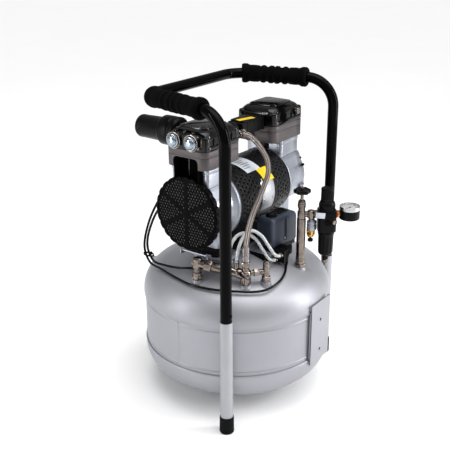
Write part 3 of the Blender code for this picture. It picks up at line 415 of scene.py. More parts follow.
def sweep(route, radius, sides=24, wall=0.0):
    """A round tube along a route, with length and girth in its UV map, hollow when it has a wall."""
    points = [Vector(point) for point in route]
    bm = bmesh.new()
    uv = bm.loops.layers.uv.new("UVMap")
    tangents = []
    for i in range(len(points)):
        tangents.append((points[min(i + 1, len(points) - 1)] - points[max(i - 1, 0)]).normalized())
    side = tangents[0].orthogonal().normalized()
    loops, lengths, travelled = [], [], 0.0
    for i, (point, tangent) in enumerate(zip(points, tangents)):
        side = (side - tangent * side.dot(tangent)).normalized()
        other = tangent.cross(side)
        travelled += (point - points[i - 1]).length if i else 0.0
        lengths.append(travelled)
        loops.append([
            bm.verts.new(point + (side * math.cos(math.tau * k / sides) + other * math.sin(math.tau * k / sides)) * radius)
            for k in range(sides)
        ])
    for i in range(len(loops) - 1):
        for k in range(sides):
            n = (k + 1) % sides
            face = bm.faces.new((loops[i][k], loops[i][n], loops[i + 1][n], loops[i + 1][k]))
            marks = [(k, i), (k + 1, i), (k + 1, i + 1), (k, i + 1)]
            for corner, (girth, along) in zip(face.loops, marks):
                corner[uv].uv = (girth / sides * math.tau * 3, lengths[along] / radius * 3)
    if wall:
        inner = sweep(route, radius - wall, sides)
        return join(bm, inner)
    bm.faces.new(list(reversed(loops[0])))
    bm.faces.new(loops[-1])
    return bm


# Cords: the hose, two tubes and two cables, all fixed at both ends

BRAIDED_HOSE = [
    (-0.0395, -0.0370, 0.5615), (-0.0340, -0.0370, 0.5615), (-0.0175, -0.0440, 0.5530),
    (-0.0035, -0.0520, 0.5365), (0.0070, -0.0590, 0.5190), (0.0110, -0.0670, 0.5000),
    (0.0010, -0.0760, 0.4790), (-0.0280, -0.0850, 0.4600), (-0.0590, -0.0920, 0.4400),
    (-0.0840, -0.0960, 0.4190), (-0.1010, -0.0985, 0.3960), (-0.1100, -0.0998, 0.3720),
    (-0.1120, -0.1000, 0.3585), (-0.1120, -0.1000, 0.3525),
]
CLEAR_TUBE_FRONT = [
    (-0.1180, -0.0830, 0.3310), (-0.1180, -0.0830, 0.3370), (-0.1120, -0.0840, 0.3600),
    (-0.0970, -0.0850, 0.3780), (-0.0780, -0.0900, 0.3850), (-0.0650, -0.1040, 0.3740),
    (-0.0540, -0.1150, 0.3500), (-0.0420, -0.1210, 0.3300), (-0.0290, -0.1240, 0.3225),
    (-0.0200, -0.1240, 0.3225),
]
CLEAR_TUBE_BACK = [
    (-0.1243, -0.0683, 0.3350), (-0.1243, -0.0683, 0.3410), (-0.1150, -0.0690, 0.3650),
    (-0.1000, -0.0715, 0.3770), (-0.0830, -0.0790, 0.3790), (-0.0700, -0.0940, 0.3660),
    (-0.0600, -0.1050, 0.3420), (-0.0470, -0.1110, 0.3200), (-0.0290, -0.1130, 0.3110),
    (-0.0200, -0.1130, 0.3110),
]
SUPPLY_CABLE = [
    (-0.1180, 0.0680, 0.4400), (-0.1180, 0.0760, 0.4400), (-0.1210, 0.1000, 0.4280),
    (-0.1240, 0.1300, 0.3750), (-0.1240, 0.1480, 0.3150), (-0.1270, 0.1330, 0.2810),
    (-0.1400, 0.0920, 0.2800), (-0.1560, 0.0430, 0.2810), (-0.1640, -0.0020, 0.2800),
    (-0.1610, -0.0360, 0.2800), (-0.1520, -0.0680, 0.2800), (-0.1370, -0.0970, 0.2800),
    (-0.1180, -0.1220, 0.2785), (-0.0950, -0.1400, 0.2800), (-0.0600, -0.1450, 0.2850),
    (-0.0330, -0.1400, 0.2915), (-0.0140, -0.1310, 0.2960), (0.0000, -0.1245, 0.3000),
    (0.0055, -0.1205, 0.3055), (0.0060, -0.1200, 0.3110), (0.0060, -0.1200, 0.3155),
]
MOTOR_CABLE = [
    (-0.1260, 0.0605, 0.4250), (-0.1260, 0.0700, 0.4250), (-0.1310, 0.1000, 0.4040),
    (-0.1320, 0.1250, 0.3550), (-0.1300, 0.1340, 0.3150), (-0.1310, 0.1180, 0.2880),
    (-0.1350, 0.0850, 0.2880), (-0.1390, 0.0500, 0.2930), (-0.1370, 0.0280, 0.2970),
    (-0.1310, 0.0070, 0.3000), (-0.1240, -0.0130, 0.3040), (-0.1210, -0.0200, 0.3110),
    (-0.1210, -0.0200, 0.3180),
]


def free_cord(name, points, diameter, look, sides=16, wall=0.0):
    route = smooth_route([(x, y + TANK_Y, z) for x, y, z in points], 8)
    piece = add(f"{name}_run", sweep(route, diameter / 2, sides, wall), look, Matrix(), node=name)


free_cord("braided_hose", BRAIDED_HOSE, 0.0105, BRAID, 32)
free_cord("clear_tube_front", CLEAR_TUBE_FRONT, 0.0065, CLEAR, 20, 0.0011)
free_cord("clear_tube_back", CLEAR_TUBE_BACK, 0.0065, CLEAR, 20, 0.0011)
free_cord("supply_cable", SUPPLY_CABLE, 0.005, CABLE)
free_cord("motor_cable", MOTOR_CABLE, 0.005, CABLE)


# Tank

SEAM_LOW, SEAM_HIGH = 0.1076, 0.2118
SKIRT_R, TANK_R = 0.1978, 0.1950


def dome(crown, knuckle=0.062, rise=0.0065, radius=SKIRT_R):
    middle = rise - math.sqrt((crown - knuckle) ** 2 - (radius - knuckle) ** 2)
    split = math.atan2(rise - middle, radius - knuckle)
    points = []
    for i in range(15):
        angle = split * i / 14
        points.append((radius - knuckle + knuckle * math.cos(angle), rise + knuckle * math.sin(angle)))
    for i in range(1, 17):
        angle = split + (math.pi / 2 - split) * i / 16
        points.append((max(crown * math.cos(angle), 0.0), middle + crown * math.sin(angle)))
    points[-1] = (0.0, points[-1][1])
    return points


def tank_head(crown, seam, up_or_down):
    """Outer skin of a pressed head, with a rolled lip where it laps over the band."""
    lip = [(TANK_R - 0.001, 0.0015), (TANK_R + 0.0004, -0.0002), (SKIRT_R - 0.0006, -0.0002),
           (SKIRT_R, 0.0006)]
    pressed = dome(crown)
    shell = [*lip, *pressed, (0.0, pressed[-1][1] - 0.003), (TANK_R - 0.02, 0.0015)]
    return spun([(radius, seam + up_or_down * height) for radius, height in shell], 160)


def dome_height(x, y):
    return 0.0222 + math.sqrt(0.300**2 - x * x - y * y)


upper = [tank_head(0.300, SEAM_HIGH, 1)]
for x, y in (CHECK_AT, TEE_AT, POST_AT, OUTLET_AT):
    foot = dome_height(x, y) - 0.010
    weld = [(0, foot), (0.0118, foot), (0.0114, foot + 0.0090), (0.0100, foot + 0.0112), (0.0100, 0.2885),
            (0, 0.2885)]
    upper.append(put(turned(weld, 0.0012, 48), (x, y, 0)))
for x, y in STUDS:
    foot = dome_height(x, y) - 0.006
    pad = [(0, foot), (0.0125, foot), (0.0115, foot + 0.006), (0.0090, foot + 0.010), (0.0090, 0.3255),
           (0, 0.3255)]
    upper.append(put(turned(pad, 0.0010, 40), (x, y, 0)))
add("tank_top", join(*upper), SILVER, node="tank_upper_head")
add("tank_bottom", tank_head(0.400, SEAM_LOW, -1), SILVER, node="tank_lower_head")


def band_profile():
    """Outside of the rolled band with a shallow bead pressed in beside each head."""
    outside = []
    for i in range(90):
        z = SEAM_LOW - 0.004 + (SEAM_HIGH - SEAM_LOW + 0.008) * i / 89
        bead = sum(math.exp(-(((z - at) / 0.0013) ** 2)) for at in (SEAM_LOW + 0.0085, SEAM_HIGH - 0.0085))
        outside.append((TANK_R + 0.0010 * bead, z))
    inside = [(TANK_R - 0.002, outside[-1][1]), (TANK_R - 0.002, outside[0][1])]
    return outside + inside


add("tank_shell", spun(band_profile(), 160), SILVER, node="tank_band")
weld_angle = math.radians(178.3)
bead = []
for i in range(60):
    z = SEAM_LOW + 0.004 + (SEAM_HIGH - SEAM_LOW - 0.008) * i / 59
    wave = 0.0002 * math.sin(i * 2.1)
    bead.append([
        (TANK_R + height + wave * (height > 0.0003), across, z)
        for across, height in ((-0.0042, -0.001), (-0.0036, 0.0002), (-0.0018, 0.0011), (0.0, 0.0013),
                               (0.0018, 0.0011), (0.0036, 0.0002), (0.0042, -0.001))
    ])
add("tank_weld", loft(bead), SILVER, ROOT @ Matrix.Rotation(weld_angle, 4, "Z"), sharp=60)
plug_nut = join(put(hexagon(0.021, 0, 0.004), (0, 0, 0.0112)), put(rod(0.0085, 0.0145, 0.0175),
                                                                   (0, 0, -0.0001)))
add("drain_plug", put(plug_nut, (0, 0, -0.001)), BRASS, ROOT)


def bracket():
    """Folded plate with two holes, and a slot in its edge flange at top and bottom."""
    face_y, thick, half, low, high = -0.2012, 0.0018, 0.036, 0.097, 0.230
    parts = []
    holes = (0.120, 0.188)
    x0, x1 = -half, half
    bands = [(low, 0.112), (0.112, 0.128), (0.128, 0.180), (0.180, 0.196), (0.196, high)]
    for bottom, top in bands:
        hole = next((z for z in holes if bottom < z < top), None)
        if hole is None:
            parts.append(box((x0, face_y, bottom), (x1, face_y + thick, top), 0))
            continue
        for a, b in ((x0, -0.008), (0.008, x1)):
            parts.append(box((a, face_y, bottom), (b, face_y + thick, top), 0))
        rim = []
        for y, k in ((face_y, 1.0), (face_y, 0.0035), (face_y + thick, 0.0035), (face_y + thick, 1.0)):
            loop = []
            for i in range(32):
                angle = math.tau * (i + 0.5) / 32
                c, s = math.cos(angle), math.sin(angle)
                reach = 0.008 / max(abs(c), abs(s)) if k == 1.0 else k
                loop.append((reach * c, y, hole + reach * s))
            rim.append(loop)
        parts.append(tube_of(rim))
    for side in (-1, 1):
        edge = side * (half - thick / 2)
        for bottom, top in ((low, 0.104), (0.110, 0.214), (0.220, high)):
            parts.append(box((edge - thick / 2, face_y + 0.0004, bottom), (edge + thick / 2, -0.1962, top),
                             0))
    return join(*parts)


add("tank_bracket_plate", bracket(), SILVER, ROOT @ Matrix.Translation((0.010, 0, 0)), node="tank_bracket",
    sharp=30)


# Frame

LEG_CIRCLE_R = 0.223
for side, angle in (("front", 210.0), ("right", 330.0), ("rear", 90.0)):
    stand = ROOT @ about("Z", angle) @ Matrix.Translation((LEG_CIRCLE_R, 0, 0))
    top = 0.222 if side == "rear" else 0.244
    inner = 0 if side == "rear" else 0.0113
    tube = turned([(0.0125, 0.010), (0.0125, top), (inner, top), (inner, 0.010)], 0.0009, 64)
    parts = [tube]
    for z in (0.136, 0.186):
        parts.append(box((-0.0272, -0.003, z - 0.018), (-0.0105, 0.003, z + 0.018), 0.0009))
        for x in (-0.0122, -0.0268):
            for y in (-0.0036, 0.0036):
                parts.append(put(rod(0.0016, -0.017, 0.017, 0.0012, 10), (x, y, z)))
    add(f"leg_{side}_tube", join(*parts), LEG_PAINT, stand, node=f"leg_{side}")
    sole = [(0, 0), (0.0132, 0), (0.0145, 0.0016), (0.0143, 0.0075), (0.0137, 0.0082), (0.0137, 0.0095),
            (0.0143, 0.0102), (0.0141, 0.0340), (0.0132, 0.0360), (0.0126, 0.0360), (0.0126, 0.0090),
            (0, 0.0090)]
    add(f"foot_{side}", turned(sole, 0.0007, 64), RUBBER, stand, node=f"rubber_foot_{side}")


def bent_route(corners, radii, per_bend=20):
    points = [Vector(corner) for corner in corners]
    route = [points[0]]
    for before, corner, after, radius in zip(points, points[1:], points[2:], radii):
        back, onward = (before - corner).normalized(), (after - corner).normalized()
        half = back.angle(onward) / 2
        centre = corner + (back + onward).normalized() * radius / math.sin(half)
        start = corner + back * radius / math.tan(half) - centre
        axis = start.cross(corner + onward * radius / math.tan(half) - centre).normalized()
        for i in range(per_bend + 1):
            route.append(centre + Matrix.Rotation((math.pi - 2 * half) * i / per_bend, 3, axis) @ start)
    return [*route, points[-1]]


FOOT_X, FOOT_Y = LEG_CIRCLE_R * math.cos(math.radians(330)), LEG_CIRCLE_R * math.sin(math.radians(330))
corners = [(-FOOT_X, FOOT_Y, 0.17), (-FOOT_X, FOOT_Y, 0.638), (-0.1466, 0.106, 0.638),
           (0.1466, 0.106, 0.638), (FOOT_X, FOOT_Y, 0.638), (FOOT_X, FOOT_Y, 0.17)]
handle = sweep(bent_route(corners, [0.058, 0.052, 0.052, 0.058]), 0.011, 40)
add("handle_bar", handle, GLOSS_BLACK, node="handle_tube")


def grip_radius(share):
    """Radius along a grip: an end collar, a plain run, three soft rings in the middle, the same back."""
    levels = [(0.0, 0.0185), (0.012, 0.0200), (0.030, 0.0206), (0.075, 0.0204), (0.095, 0.0188),
              (0.120, 0.0176),
              (0.180, 0.0181), (0.250, 0.0176), (0.285, 0.0160), (0.320, 0.0186), (0.345, 0.0188),
              (0.375, 0.0158),
              (0.405, 0.0158), (0.440, 0.0188), (0.470, 0.0188), (0.498, 0.0160), (0.500, 0.0160)]
    mirrored = min(share, 1 - share)
    for (before, low), (after, high) in zip(levels, levels[1:]):
        if mirrored <= after:
            t = (mirrored - before) / (after - before)
            t = t * t * (3 - 2 * t)
            return low + (high - low) * t
    return levels[-1][1]


def sleeve_along(route, inner, steps=48):
    """A foam sleeve whose outer radius follows grip_radius along the route."""
    lengths = [0.0]
    for a, b in zip(route, route[1:]):
        lengths.append(lengths[-1] + (b - a).length)
    side = Vector((0, 0, 1))
    rings = []
    shares = [length / lengths[-1] for length in lengths]
    rows = [(0, inner)] + [(i, grip_radius(share)) for i, share in enumerate(shares)] + [(len(route) - 1,
            inner)]
    for i, radius in rows:
        along = (route[min(i + 1, len(route) - 1)] - route[max(i - 1, 0)]).normalized()
        across = along.cross(side).normalized()
        rings.append([
            route[i] + (across * math.cos(math.tau * k / steps) + side * math.sin(math.tau * k / steps)) * radius
            for k in range(steps)
        ])
    return tube_of(rings)


def sampled(route, start, end, count):
    """Evenly spaced points of the route between two distances along it."""
    points = [Vector(point) for point in route]
    out, travelled, i = [], 0.0, 0
    for k in range(count):
        target = start + (end - start) * k / (count - 1)
        while i < len(points) - 2 and travelled + (points[i + 1] - points[i]).length < target:
            travelled += (points[i + 1] - points[i]).length
            i += 1
        run = points[i + 1] - points[i]
        out.append(points[i] + run.normalized() * (target - travelled))
    return out


GRIP_START, GRIP_REACH = 0.0586, 0.146
for side, turned_corners in (("left", corners), ("right", corners[::-1])):
    first, second = Vector(turned_corners[1]), Vector(turned_corners[2])
    arm_route = bent_route([first, second, Vector(turned_corners[3])], [0.052], 24)
    sleeve = sleeve_along(sampled(arm_route, GRIP_START, GRIP_START + GRIP_REACH, 120), 0.0113)
    add(f"grip_{side}", sleeve, FOAM, node=f"foam_grip_{side}")
    head = turned([(0, 0), (0.0032, 0), (0.0029, 0.0010), (0.0018, 0.0019), (0, 0.0020)], 0.0003, 32)
    slot_bars = box((-0.0018, -0.0003, 0.0017), (0.0018, 0.0003, 0.00205), 0)
    at = (first.x, first.y - 0.0113, 0.258)
    add(f"screw_{side}", put(head, at, (90, 0, 0)), GLOSS_BLACK, node=f"handle_screw_{side}")
    add(f"screw_slot_{side}", put(slot_bars, at, (90, 0, 30)), STEEL)


# Pump

MOTOR_HALF, CYLINDER_X, CYLINDER_BORE, END_FACE = 0.090, 0.1157, 0.0252, 0.1751
HEAD_LONG, HEAD_WIDE, HEAD_CORNER, BOLT_INSET = 0.1136, 0.0966, 0.016, 0.0115


def socket_screw(radius=0.0035, tall=0.003):
    """Cap screw with a hexagonal recess, standing on z = 0."""
    return turned([(0, 0), (radius, 0), (radius, tall), (radius * 0.55, tall), (radius * 0.5, tall - 0.0016),
                   (0, tall - 0.0018)], 0.0004, 32)


def crankcase(name, side):
    turn = (0, 90 * side, 0)
    drum = turned([(0, 0.0905), (0.0700, 0.0905), (0.0700, 0.0965), (0.0660, 0.0985), (0.0612, 0.1030),
                   (0.0600, 0.110),
                   (0.0600, 0.163), (0.0520, 0.163), (0.0520, 0.0985), (0, 0.0985)], 0.0010, 120)
    parts = [put(drum, turn=turn)]
    inner, outer = 0.0925, 0.1605
    for y in (-1, 1):
        wall = slab(outer - inner, 0.015, 0.0055, 0.012, 0.0892, 0.0008)
        parts.append(put(wall, (side * (inner + outer) / 2, y * 0.0362, 0)))
        shoulder = loft([
            [(x, across, z) for x, across in ((inner, 0.030), (outer, 0.030), (outer, reach), (inner, reach))]
            for z, reach in ((0.016, 0.0560), (0.044, 0.0500), (0.052, 0.0478), (0.056, 0.0436))
        ])
        bmesh.ops.bevel(shoulder, geom=shoulder.edges, offset=0.0022, segments=3, affect="EDGES")
        if y < 0:
            bmesh.ops.scale(shoulder, vec=(1, -1, 1), verts=shoulder.verts)
        bmesh.ops.scale(shoulder, vec=(side, 1, 1), verts=shoulder.verts)
        parts.append(shoulder)
        collar = slab(outer - inner + 0.0015, 0.0165, 0.0060, 0.0805, 0.0892, 0.0010)
        parts.append(put(collar, (side * (inner + outer) / 2, y * 0.0362, 0)))
    back = slab(0.018, 0.084, 0.006, 0.012, 0.0892, 0.0008)
    parts.append(put(back, (side * 0.1015, 0, 0)))
    if side > 0:
        parts.append(put(slab(0.012, 0.084, 0.005, 0.012, 0.0892, 0.0008), (0.1545, 0, 0)))
    parts.append(put(slab(0.043, 0.086, 0.007, -0.077, -0.045, 0.0015), (side * 0.112, 0, 0)))
    for y in (-1, 1):
        parts.append(put(rod(0.0075, -0.0700, -0.0400, 0.001, 32), (side * 0.112, y * 0.0300, 0)))
    parts.append(put(rod(0.0080, 0.050, 0.0655, 0.0015, 40), (side * 0.126, 0, 0.013), (-90, 0, 0)))
    for angle in range(20, 360, 60):
        lug = rod(0.0055, 0.1480, 0.1625, 0.0008, 28)
        y, z = 0.0590 * math.cos(math.radians(angle)), 0.0590 * math.sin(math.radians(angle))
        spin = about("Y", 90 * side)
        lug.transform(Matrix.Translation((0, y, z)) @ spin)
        parts.append(lug)
    add(f"{name}_casting", join(*parts), CAST, PUMP, node=name)
    # The liner is coloured black, and a black disc, plate and frame close the window behind it: painted shade
    # filling the crankcase window, which also hides the piston.
    liner = ring(0.0270, 0.0254, 0.020, 0.0895, 0.0004)
    add(f"{name}_liner", put(liner, (side * CYLINDER_X, 0, 0)), SHEET, PUMP)
    inside = join(put(ring(0.0515, 0.0100, 0.0990, 0.1000), turn=turn),
                  put(slab(0.0006, 0.0565, 0.0002, 0.0520, 0.1095, 0.0001, 2), (side * 0.1447, 0, 0)))
    frame_rings = []
    for x, inset in ((0.1436, 0.0), (0.1712, 0.0), (0.1712, 0.0016), (0.1436, 0.0016)):
        outline = rounded(0.0576 - 2 * inset, 0.0590 - 2 * inset, 0.009 - inset, 0.0)
        frame_rings.append([(side * x, u, v + 0.0805) for u, v, _ in outline])
    inside = join(inside, tube_of(frame_rings))
    edge = box((-0.0004, -0.0008, 0.0560), (0.0004, 0.0008, 0.1010), 0.0002)
    add(f"{name}_window_edge", put(edge, (side * 0.1455, 0.0125, 0)), CAST, PUMP)
    add(f"{name}_inside", inside, DARK, PUMP)
    for y in (-1, 1):
        add(f"{name}_bolt_{'front' if y < 0 else 'back'}",
            put(socket_screw(0.0042, 0.004), (side * 0.112, y * 0.0385, -0.0455)), STEEL, PUMP)


def carve(piece, cutter, name, base):
    """Takes the cutter's shape out of a piece and bakes the result into its mesh."""
    cutter.transform(base)
    bmesh.ops.recalc_face_normals(cutter, faces=cutter.faces)
    mesh = bpy.data.meshes.new(name)
    cutter.to_mesh(mesh)
    cutter.free()
    tool = bpy.data.objects.new(name, mesh)
    bpy.context.scene.collection.objects.link(tool)
    cut = piece.modifiers.new("cut", "BOOLEAN")
    cut.operation = "DIFFERENCE"
    cut.solver = "EXACT"
    cut.object = tool
    bpy.context.view_layer.update()
    graph = bpy.context.evaluated_depsgraph_get()
    finished = bpy.data.meshes.new_from_object(piece.evaluated_get(graph))
    piece.modifiers.clear()
    piece.data = finished
    bpy.data.objects.remove(tool)
    finished.shade_smooth()
    finished.set_sharp_from_angle(angle=math.radians(38))


def cylinder_block(name, side):
    parts = []
    for low, high in ((0.090, 0.1128), (0.1134, 0.1250)):
        parts.append(slab(HEAD_LONG, HEAD_WIDE, HEAD_CORNER, low, high, 0.0007, 10))
    parts.append(slab(HEAD_LONG - 0.002, HEAD_WIDE - 0.002, HEAD_CORNER - 0.001, 0.1100, 0.1150, 0.0003, 10))
    for i, part in enumerate(parts):
        node = name if i == 0 else ()
        piece = add(f"{name}_course_{i}", put(part, (side * CYLINDER_X, 0, 0)), BLOCK, PUMP, node=node)
        window = [(y, z + 0.0805) for y, z, _ in rounded(0.058, 0.060, 0.009, 0.0)]
        carve(piece, loft([[(side * x, y, z) for y, z in window] for x in (0.1440, 0.180)]), "window", PUMP)
        carve(piece, put(rod(CYLINDER_BORE, 0.080, 0.130, 0.0001, 64), (side * CYLINDER_X, 0, 0)), "bore",
              PUMP)
    inner_face = side * (CYLINDER_X - HEAD_LONG / 2)
    boss = join(rod(0.0110, -0.006, 0.006, 0.0015), rod(0.0060, -0.0075, 0.0075, 0.0008))
    add(f"{name}_boss", put(boss, (inner_face, 0.014, 0.1015), ALONG_X), BLOCK, PUMP)


def gusset_rib(length, tall, thick=0.0022):
    """A cast rib: a thin triangle that leans from the flange's rim up to the head's core."""
    bm = loft([
        [(0, -thick / 2, 0), (length, -thick / 2, 0), (length, thick / 2, 0), (0, thick / 2, 0)],
        [(0, -thick / 2, tall * 0.35), (length * 0.98, -thick / 2, tall * 0.35),
         (length * 0.98, thick / 2, tall * 0.35), (0, thick / 2, tall * 0.35)],
        [(0, -thick / 3, tall), (length * 0.45, -thick / 3, tall), (length * 0.45, thick / 3, tall),
         (0, thick / 3, tall)],
    ])
    bmesh.ops.bevel(bm, geom=bm.edges, offset=0.0006, segments=2, affect="EDGES")
    return bm


def cylinder_head(name, side):
    long, wide = HEAD_LONG, HEAD_WIDE
    levels = [(0.1300, 0.0020), (0.1340, 0.0030), (0.1480, 0.0036), (0.1530, 0.0050), (0.1570, 0.0080),
              (0.1600, 0.0120), (0.1618, 0.0170), (0.1626, 0.0220)]
    core = loft([rounded(long - 2 * inset, wide - 2 * inset, 0.0165, z, 10) for z, inset in levels])
    parts = [core, slab(long, wide, HEAD_CORNER, 0.1254, 0.1345, 0.0016, 10)]
    parts.append(slab(long - 0.040, wide - 0.032, 0.011, 0.1610, 0.1642, 0.0012, 8))
    parts.append(slab(long - 0.054, wide - 0.046, 0.009, 0.1635, 0.1649, 0.0007, 8))
    for x in (-1, 1):
        for y in (-1, 1):
            lug = turned([(0, 0.1260), (0.0105, 0.1260), (0.0098, 0.1490), (0.0085, 0.1520), (0.0058, 0.1520),
                          (0.0055, 0.1480), (0, 0.1480)], 0.0012, 40)
            parts.append(put(lug, (x * (long / 2 - BOLT_INSET), y * (wide / 2 - BOLT_INSET), 0)))
    for sy in (-1, 1):
        for x in (-0.028, -0.012, 0.012, 0.028):
            parts.append(put(gusset_rib(0.0120, 0.0250, 0.0042), (x, sy * (wide / 2 - 0.0130), 0.1335),
                             (0, 0, 90 * sy)))
    for y in (-0.020, 0.0, 0.020):
        parts.append(put(gusset_rib(0.0120, 0.0250, 0.0042), (long / 2 - 0.0130, y, 0.1335)))
    if side > 0:
        parts.append(put(rod(0.0090, 0.0, 0.0140, 0.0015, 40), (0.030, -(wide / 2) + 0.0135, 0.1445),
                         (90, 0, 0)))
    if side < 0:
        for y, z in ((-0.014, 0.1395), (0.027, 0.1395)):
            bore = turned([(0, -0.020), (0.0172, -0.020), (0.0168, -0.003), (0.0158, -0.0004),
                           (0.0140, -0.0004),
                           (0.0138, -0.0010), (0, -0.0010)], 0.0008, 56)
            parts.append(put(bore, (-long / 2 + 0.0004, y, z), (0, -90, 0)))
        for y in (-0.014, 0.0065, 0.027):
            web = rod(0.0042, -0.014, 0.004, 0.0014, 28)
            parts.append(put(web, (-long / 2 + 0.010, y, 0.1565), (0, -62, 0)))
        parts.append(put(rod(0.0062, 0.0568 - 0.004, 0.0681, 0.0004), (0, -0.037, 0.1345), ALONG_X))
    add(f"{name}_casting", put(join(*parts), (side * CYLINDER_X, 0, 0)), HEAD_BLACK, PUMP, node=name)
    if side > 0:
        stopper = turned([(0, 0), (0.0072, 0), (0.0072, 0.0022), (0.0058, 0.0034), (0.0030, 0.0034),
                          (0.0026, 0.0022), (0, 0.0022)], 0.0004, 40)
        add("head_port_plug", put(stopper, (side * CYLINDER_X + 0.030, -(wide / 2) - 0.0004, 0.1445),
                                  (90, 0, 0)), NICKEL_PAINTED_REFLECTION, PUMP)
    for x in (-1, 1):
        for y in (-1, 1):
            where = (side * CYLINDER_X + x * (long / 2 - BOLT_INSET), y * (wide / 2 - BOLT_INSET), 0.1482)
            add(f"{name}_bolt_{x + 1}{y + 1}", put(socket_screw(0.0044, 0.0036), where), SHEET, PUMP)


def hex_sheet(keep_hole, inside, pitch, hole, shape, rows, columns):
    """A sheet of hexagonal cells with round holes, placed by shape(u, v)."""
    bm = bmesh.new()
    reach = pitch / math.sqrt(3)
    for row in range(-rows, rows + 1):
        for column in range(-columns, columns + 1):
            u = pitch * (column + 0.5 * (row % 2))
            v = pitch * math.sqrt(3) / 2 * row
            if not inside(u, v):
                continue
            outer = []
            for k in range(12):
                angle = math.tau * k / 12 + math.pi / 6
                size = reach if k % 2 == 0 else pitch / 2
                outer.append(bm.verts.new(shape(u + size * math.cos(angle), v + size * math.sin(angle))))
            if not keep_hole(u, v):
                bm.faces.new(outer)
                continue
            rim = []
            for k in range(12):
                angle = math.tau * k / 12 + math.pi / 6
                rim.append(bm.verts.new(shape(u + hole * math.cos(angle), v + hole * math.sin(angle))))
            for k in range(12):
                n = (k + 1) % 12
                bm.faces.new((outer[k], outer[n], rim[n], rim[k]))
    bmesh.ops.remove_doubles(bm, verts=bm.verts, dist=0.00005)
    return bm


def thicken(piece, amount):
    wall = piece.modifiers.new("wall", "SOLIDIFY")
    wall.thickness = amount
    wall.offset = 0.0


def fan_grille(name, side, radius, face):
    def spoke(u, v):
        distance = math.hypot(u, v)
        if distance < 0.0095 or distance > radius - 0.0085:
            return False
        angle = math.degrees(math.atan2(v, u)) % 60 - 30
        return distance * abs(math.sin(math.radians(angle))) > 0.0050

    disc = hex_sheet(spoke, lambda u, v: math.hypot(u, v) < radius - 0.0035, 0.0064, 0.00215,
                     lambda u, v: (side * (face - 0.0012), u, v), 15, 13)
    piece = add(f"{name}_screen", disc, GRILLE, PUMP)
    thicken(piece, 0.0012)
    pad = turned([(0, face - 0.0040), (radius - 0.006, face - 0.0040), (radius - 0.006, face - 0.0025),
                  (0, face - 0.0025)], 0.0003, 96)
    add(f"{name}_filter", put(pad, turn=(0, 90 * side, 0)), FILTER, PUMP)
    rim = []
    lobes = 24
    for x, inset in ((face - 0.0115, 0.0), (face - 0.003, 0.0), (face - 0.0010, 0.0008), (face, 0.0026),
                     (face, 0.0050), (face - 0.0016, 0.0062), (face - 0.0030, 0.0062)):
        loop = []
        for i in range(lobes * 8):
            angle = math.tau * i / (lobes * 8)
            dip = 0.0022 * (0.5 - 0.5 * math.cos(lobes * angle)) ** 4
            reach = radius - inset - dip * (inset < 0.003)
            loop.append((side * x, reach * math.cos(angle), reach * math.sin(angle)))
        rim.append(loop)
    spokes = [skin(rim)[0]]
    for i in range(6):
        bar = box((0.006, -0.0020, -0.0004), (radius - 0.004, 0.0020, 0.0007), 0.0004)
        bar.transform(Matrix.Translation((side * (face - 0.0012), 0, 0)) @ about("X", 60 * i + 30)
                      @ about("Z", 90) @ about("X", 90))
        spokes.append(bar)
    hub = turned([(0, face - 0.003), (0.0085, face - 0.003), (0.0080, face - 0.0003), (0.0055, face),
                  (0, face)], 0.0006)
    spokes.append(put(hub, turn=(0, 90 * side, 0)))
    add(f"{name}_rim", join(*spokes), GRILLE, PUMP, node=name)


def end_cover(name, side, radius, face):
    """Plain dished cover of the right-hand crankcase, held by screws and clips."""
    start = 0.1633
    cover = turned([(0, start), (radius, start), (radius, start + 0.004), (radius - 0.003, face - 0.004),
                    (radius - 0.008, face), (0.020, face), (0.016, face - 0.003), (0, face - 0.003)], 0.0012,
                   96)
    add(f"{name}_dish", put(cover, turn=(0, 90 * side, 0)), CAST, PUMP, node=name)
    for i in range(6):
        angle = math.radians(20 + 60 * i)
        y, z = 0.0525 * math.cos(angle), 0.0525 * math.sin(angle)
        screw = socket_screw(0.0036, 0.0034)
        screw.transform(Matrix.Translation((side * (face - 0.0042), y, z)) @ about("Y", 90 * side))
        add(f"{name}_screw_{i}", screw, SHEET, PUMP)


def rim_clips(name, side):
    """Small black spring clips that grip the cover's edge."""
    clips = []
    for angle in (52, 67, 115, 232, 247, 295):
        hook = join(
            box((side * 0.1560, -0.0026, 0.0590), (side * 0.1650, 0.0026, 0.0632), 0.0008),
            put(rod(0.0026, 0.0600, 0.0655, 0.0010, 24), (side * 0.1590, 0, 0)),
            box((side * 0.1630, -0.0020, 0.0540), (side * 0.1662, 0.0020, 0.0620), 0.0006),
        )
        hook.transform(about("X", angle))
        clips.append(hook)
    add(f"{name}_clips", join(*clips), PLASTIC, PUMP)


def fan(name, side, body):
    turn = (0, 90 * side, 0)
    parts = [put(turned([(0.0063, 0.146), (0.013, 0.146), (0.013, 0.158), (0.0063, 0.158)], 0.0008),
                 turn=turn)]
    for i in range(8):
        blade = loft([[(0.012, -0.0012, 0.1468), (0.046, -0.0060, 0.1468), (0.046, -0.0046, 0.1468),
                       (0.012, 0.0002, 0.1468)],
                      [(0.012, 0.0000, 0.1572), (0.046, 0.0046, 0.1572), (0.046, 0.0060, 0.1572),
                       (0.012, 0.0012, 0.1572)]])
        blade.transform(about("Y", 90 * side) @ about("Z", 45 * i))
        parts.append(blade)
    add(f"{name}_wheel", join(*parts), PLASTIC, PUMP, body=body, node=name)


def on_drum(radius):
    return lambda u, v: (v, radius * math.cos(u / radius), radius * math.sin(u / radius))


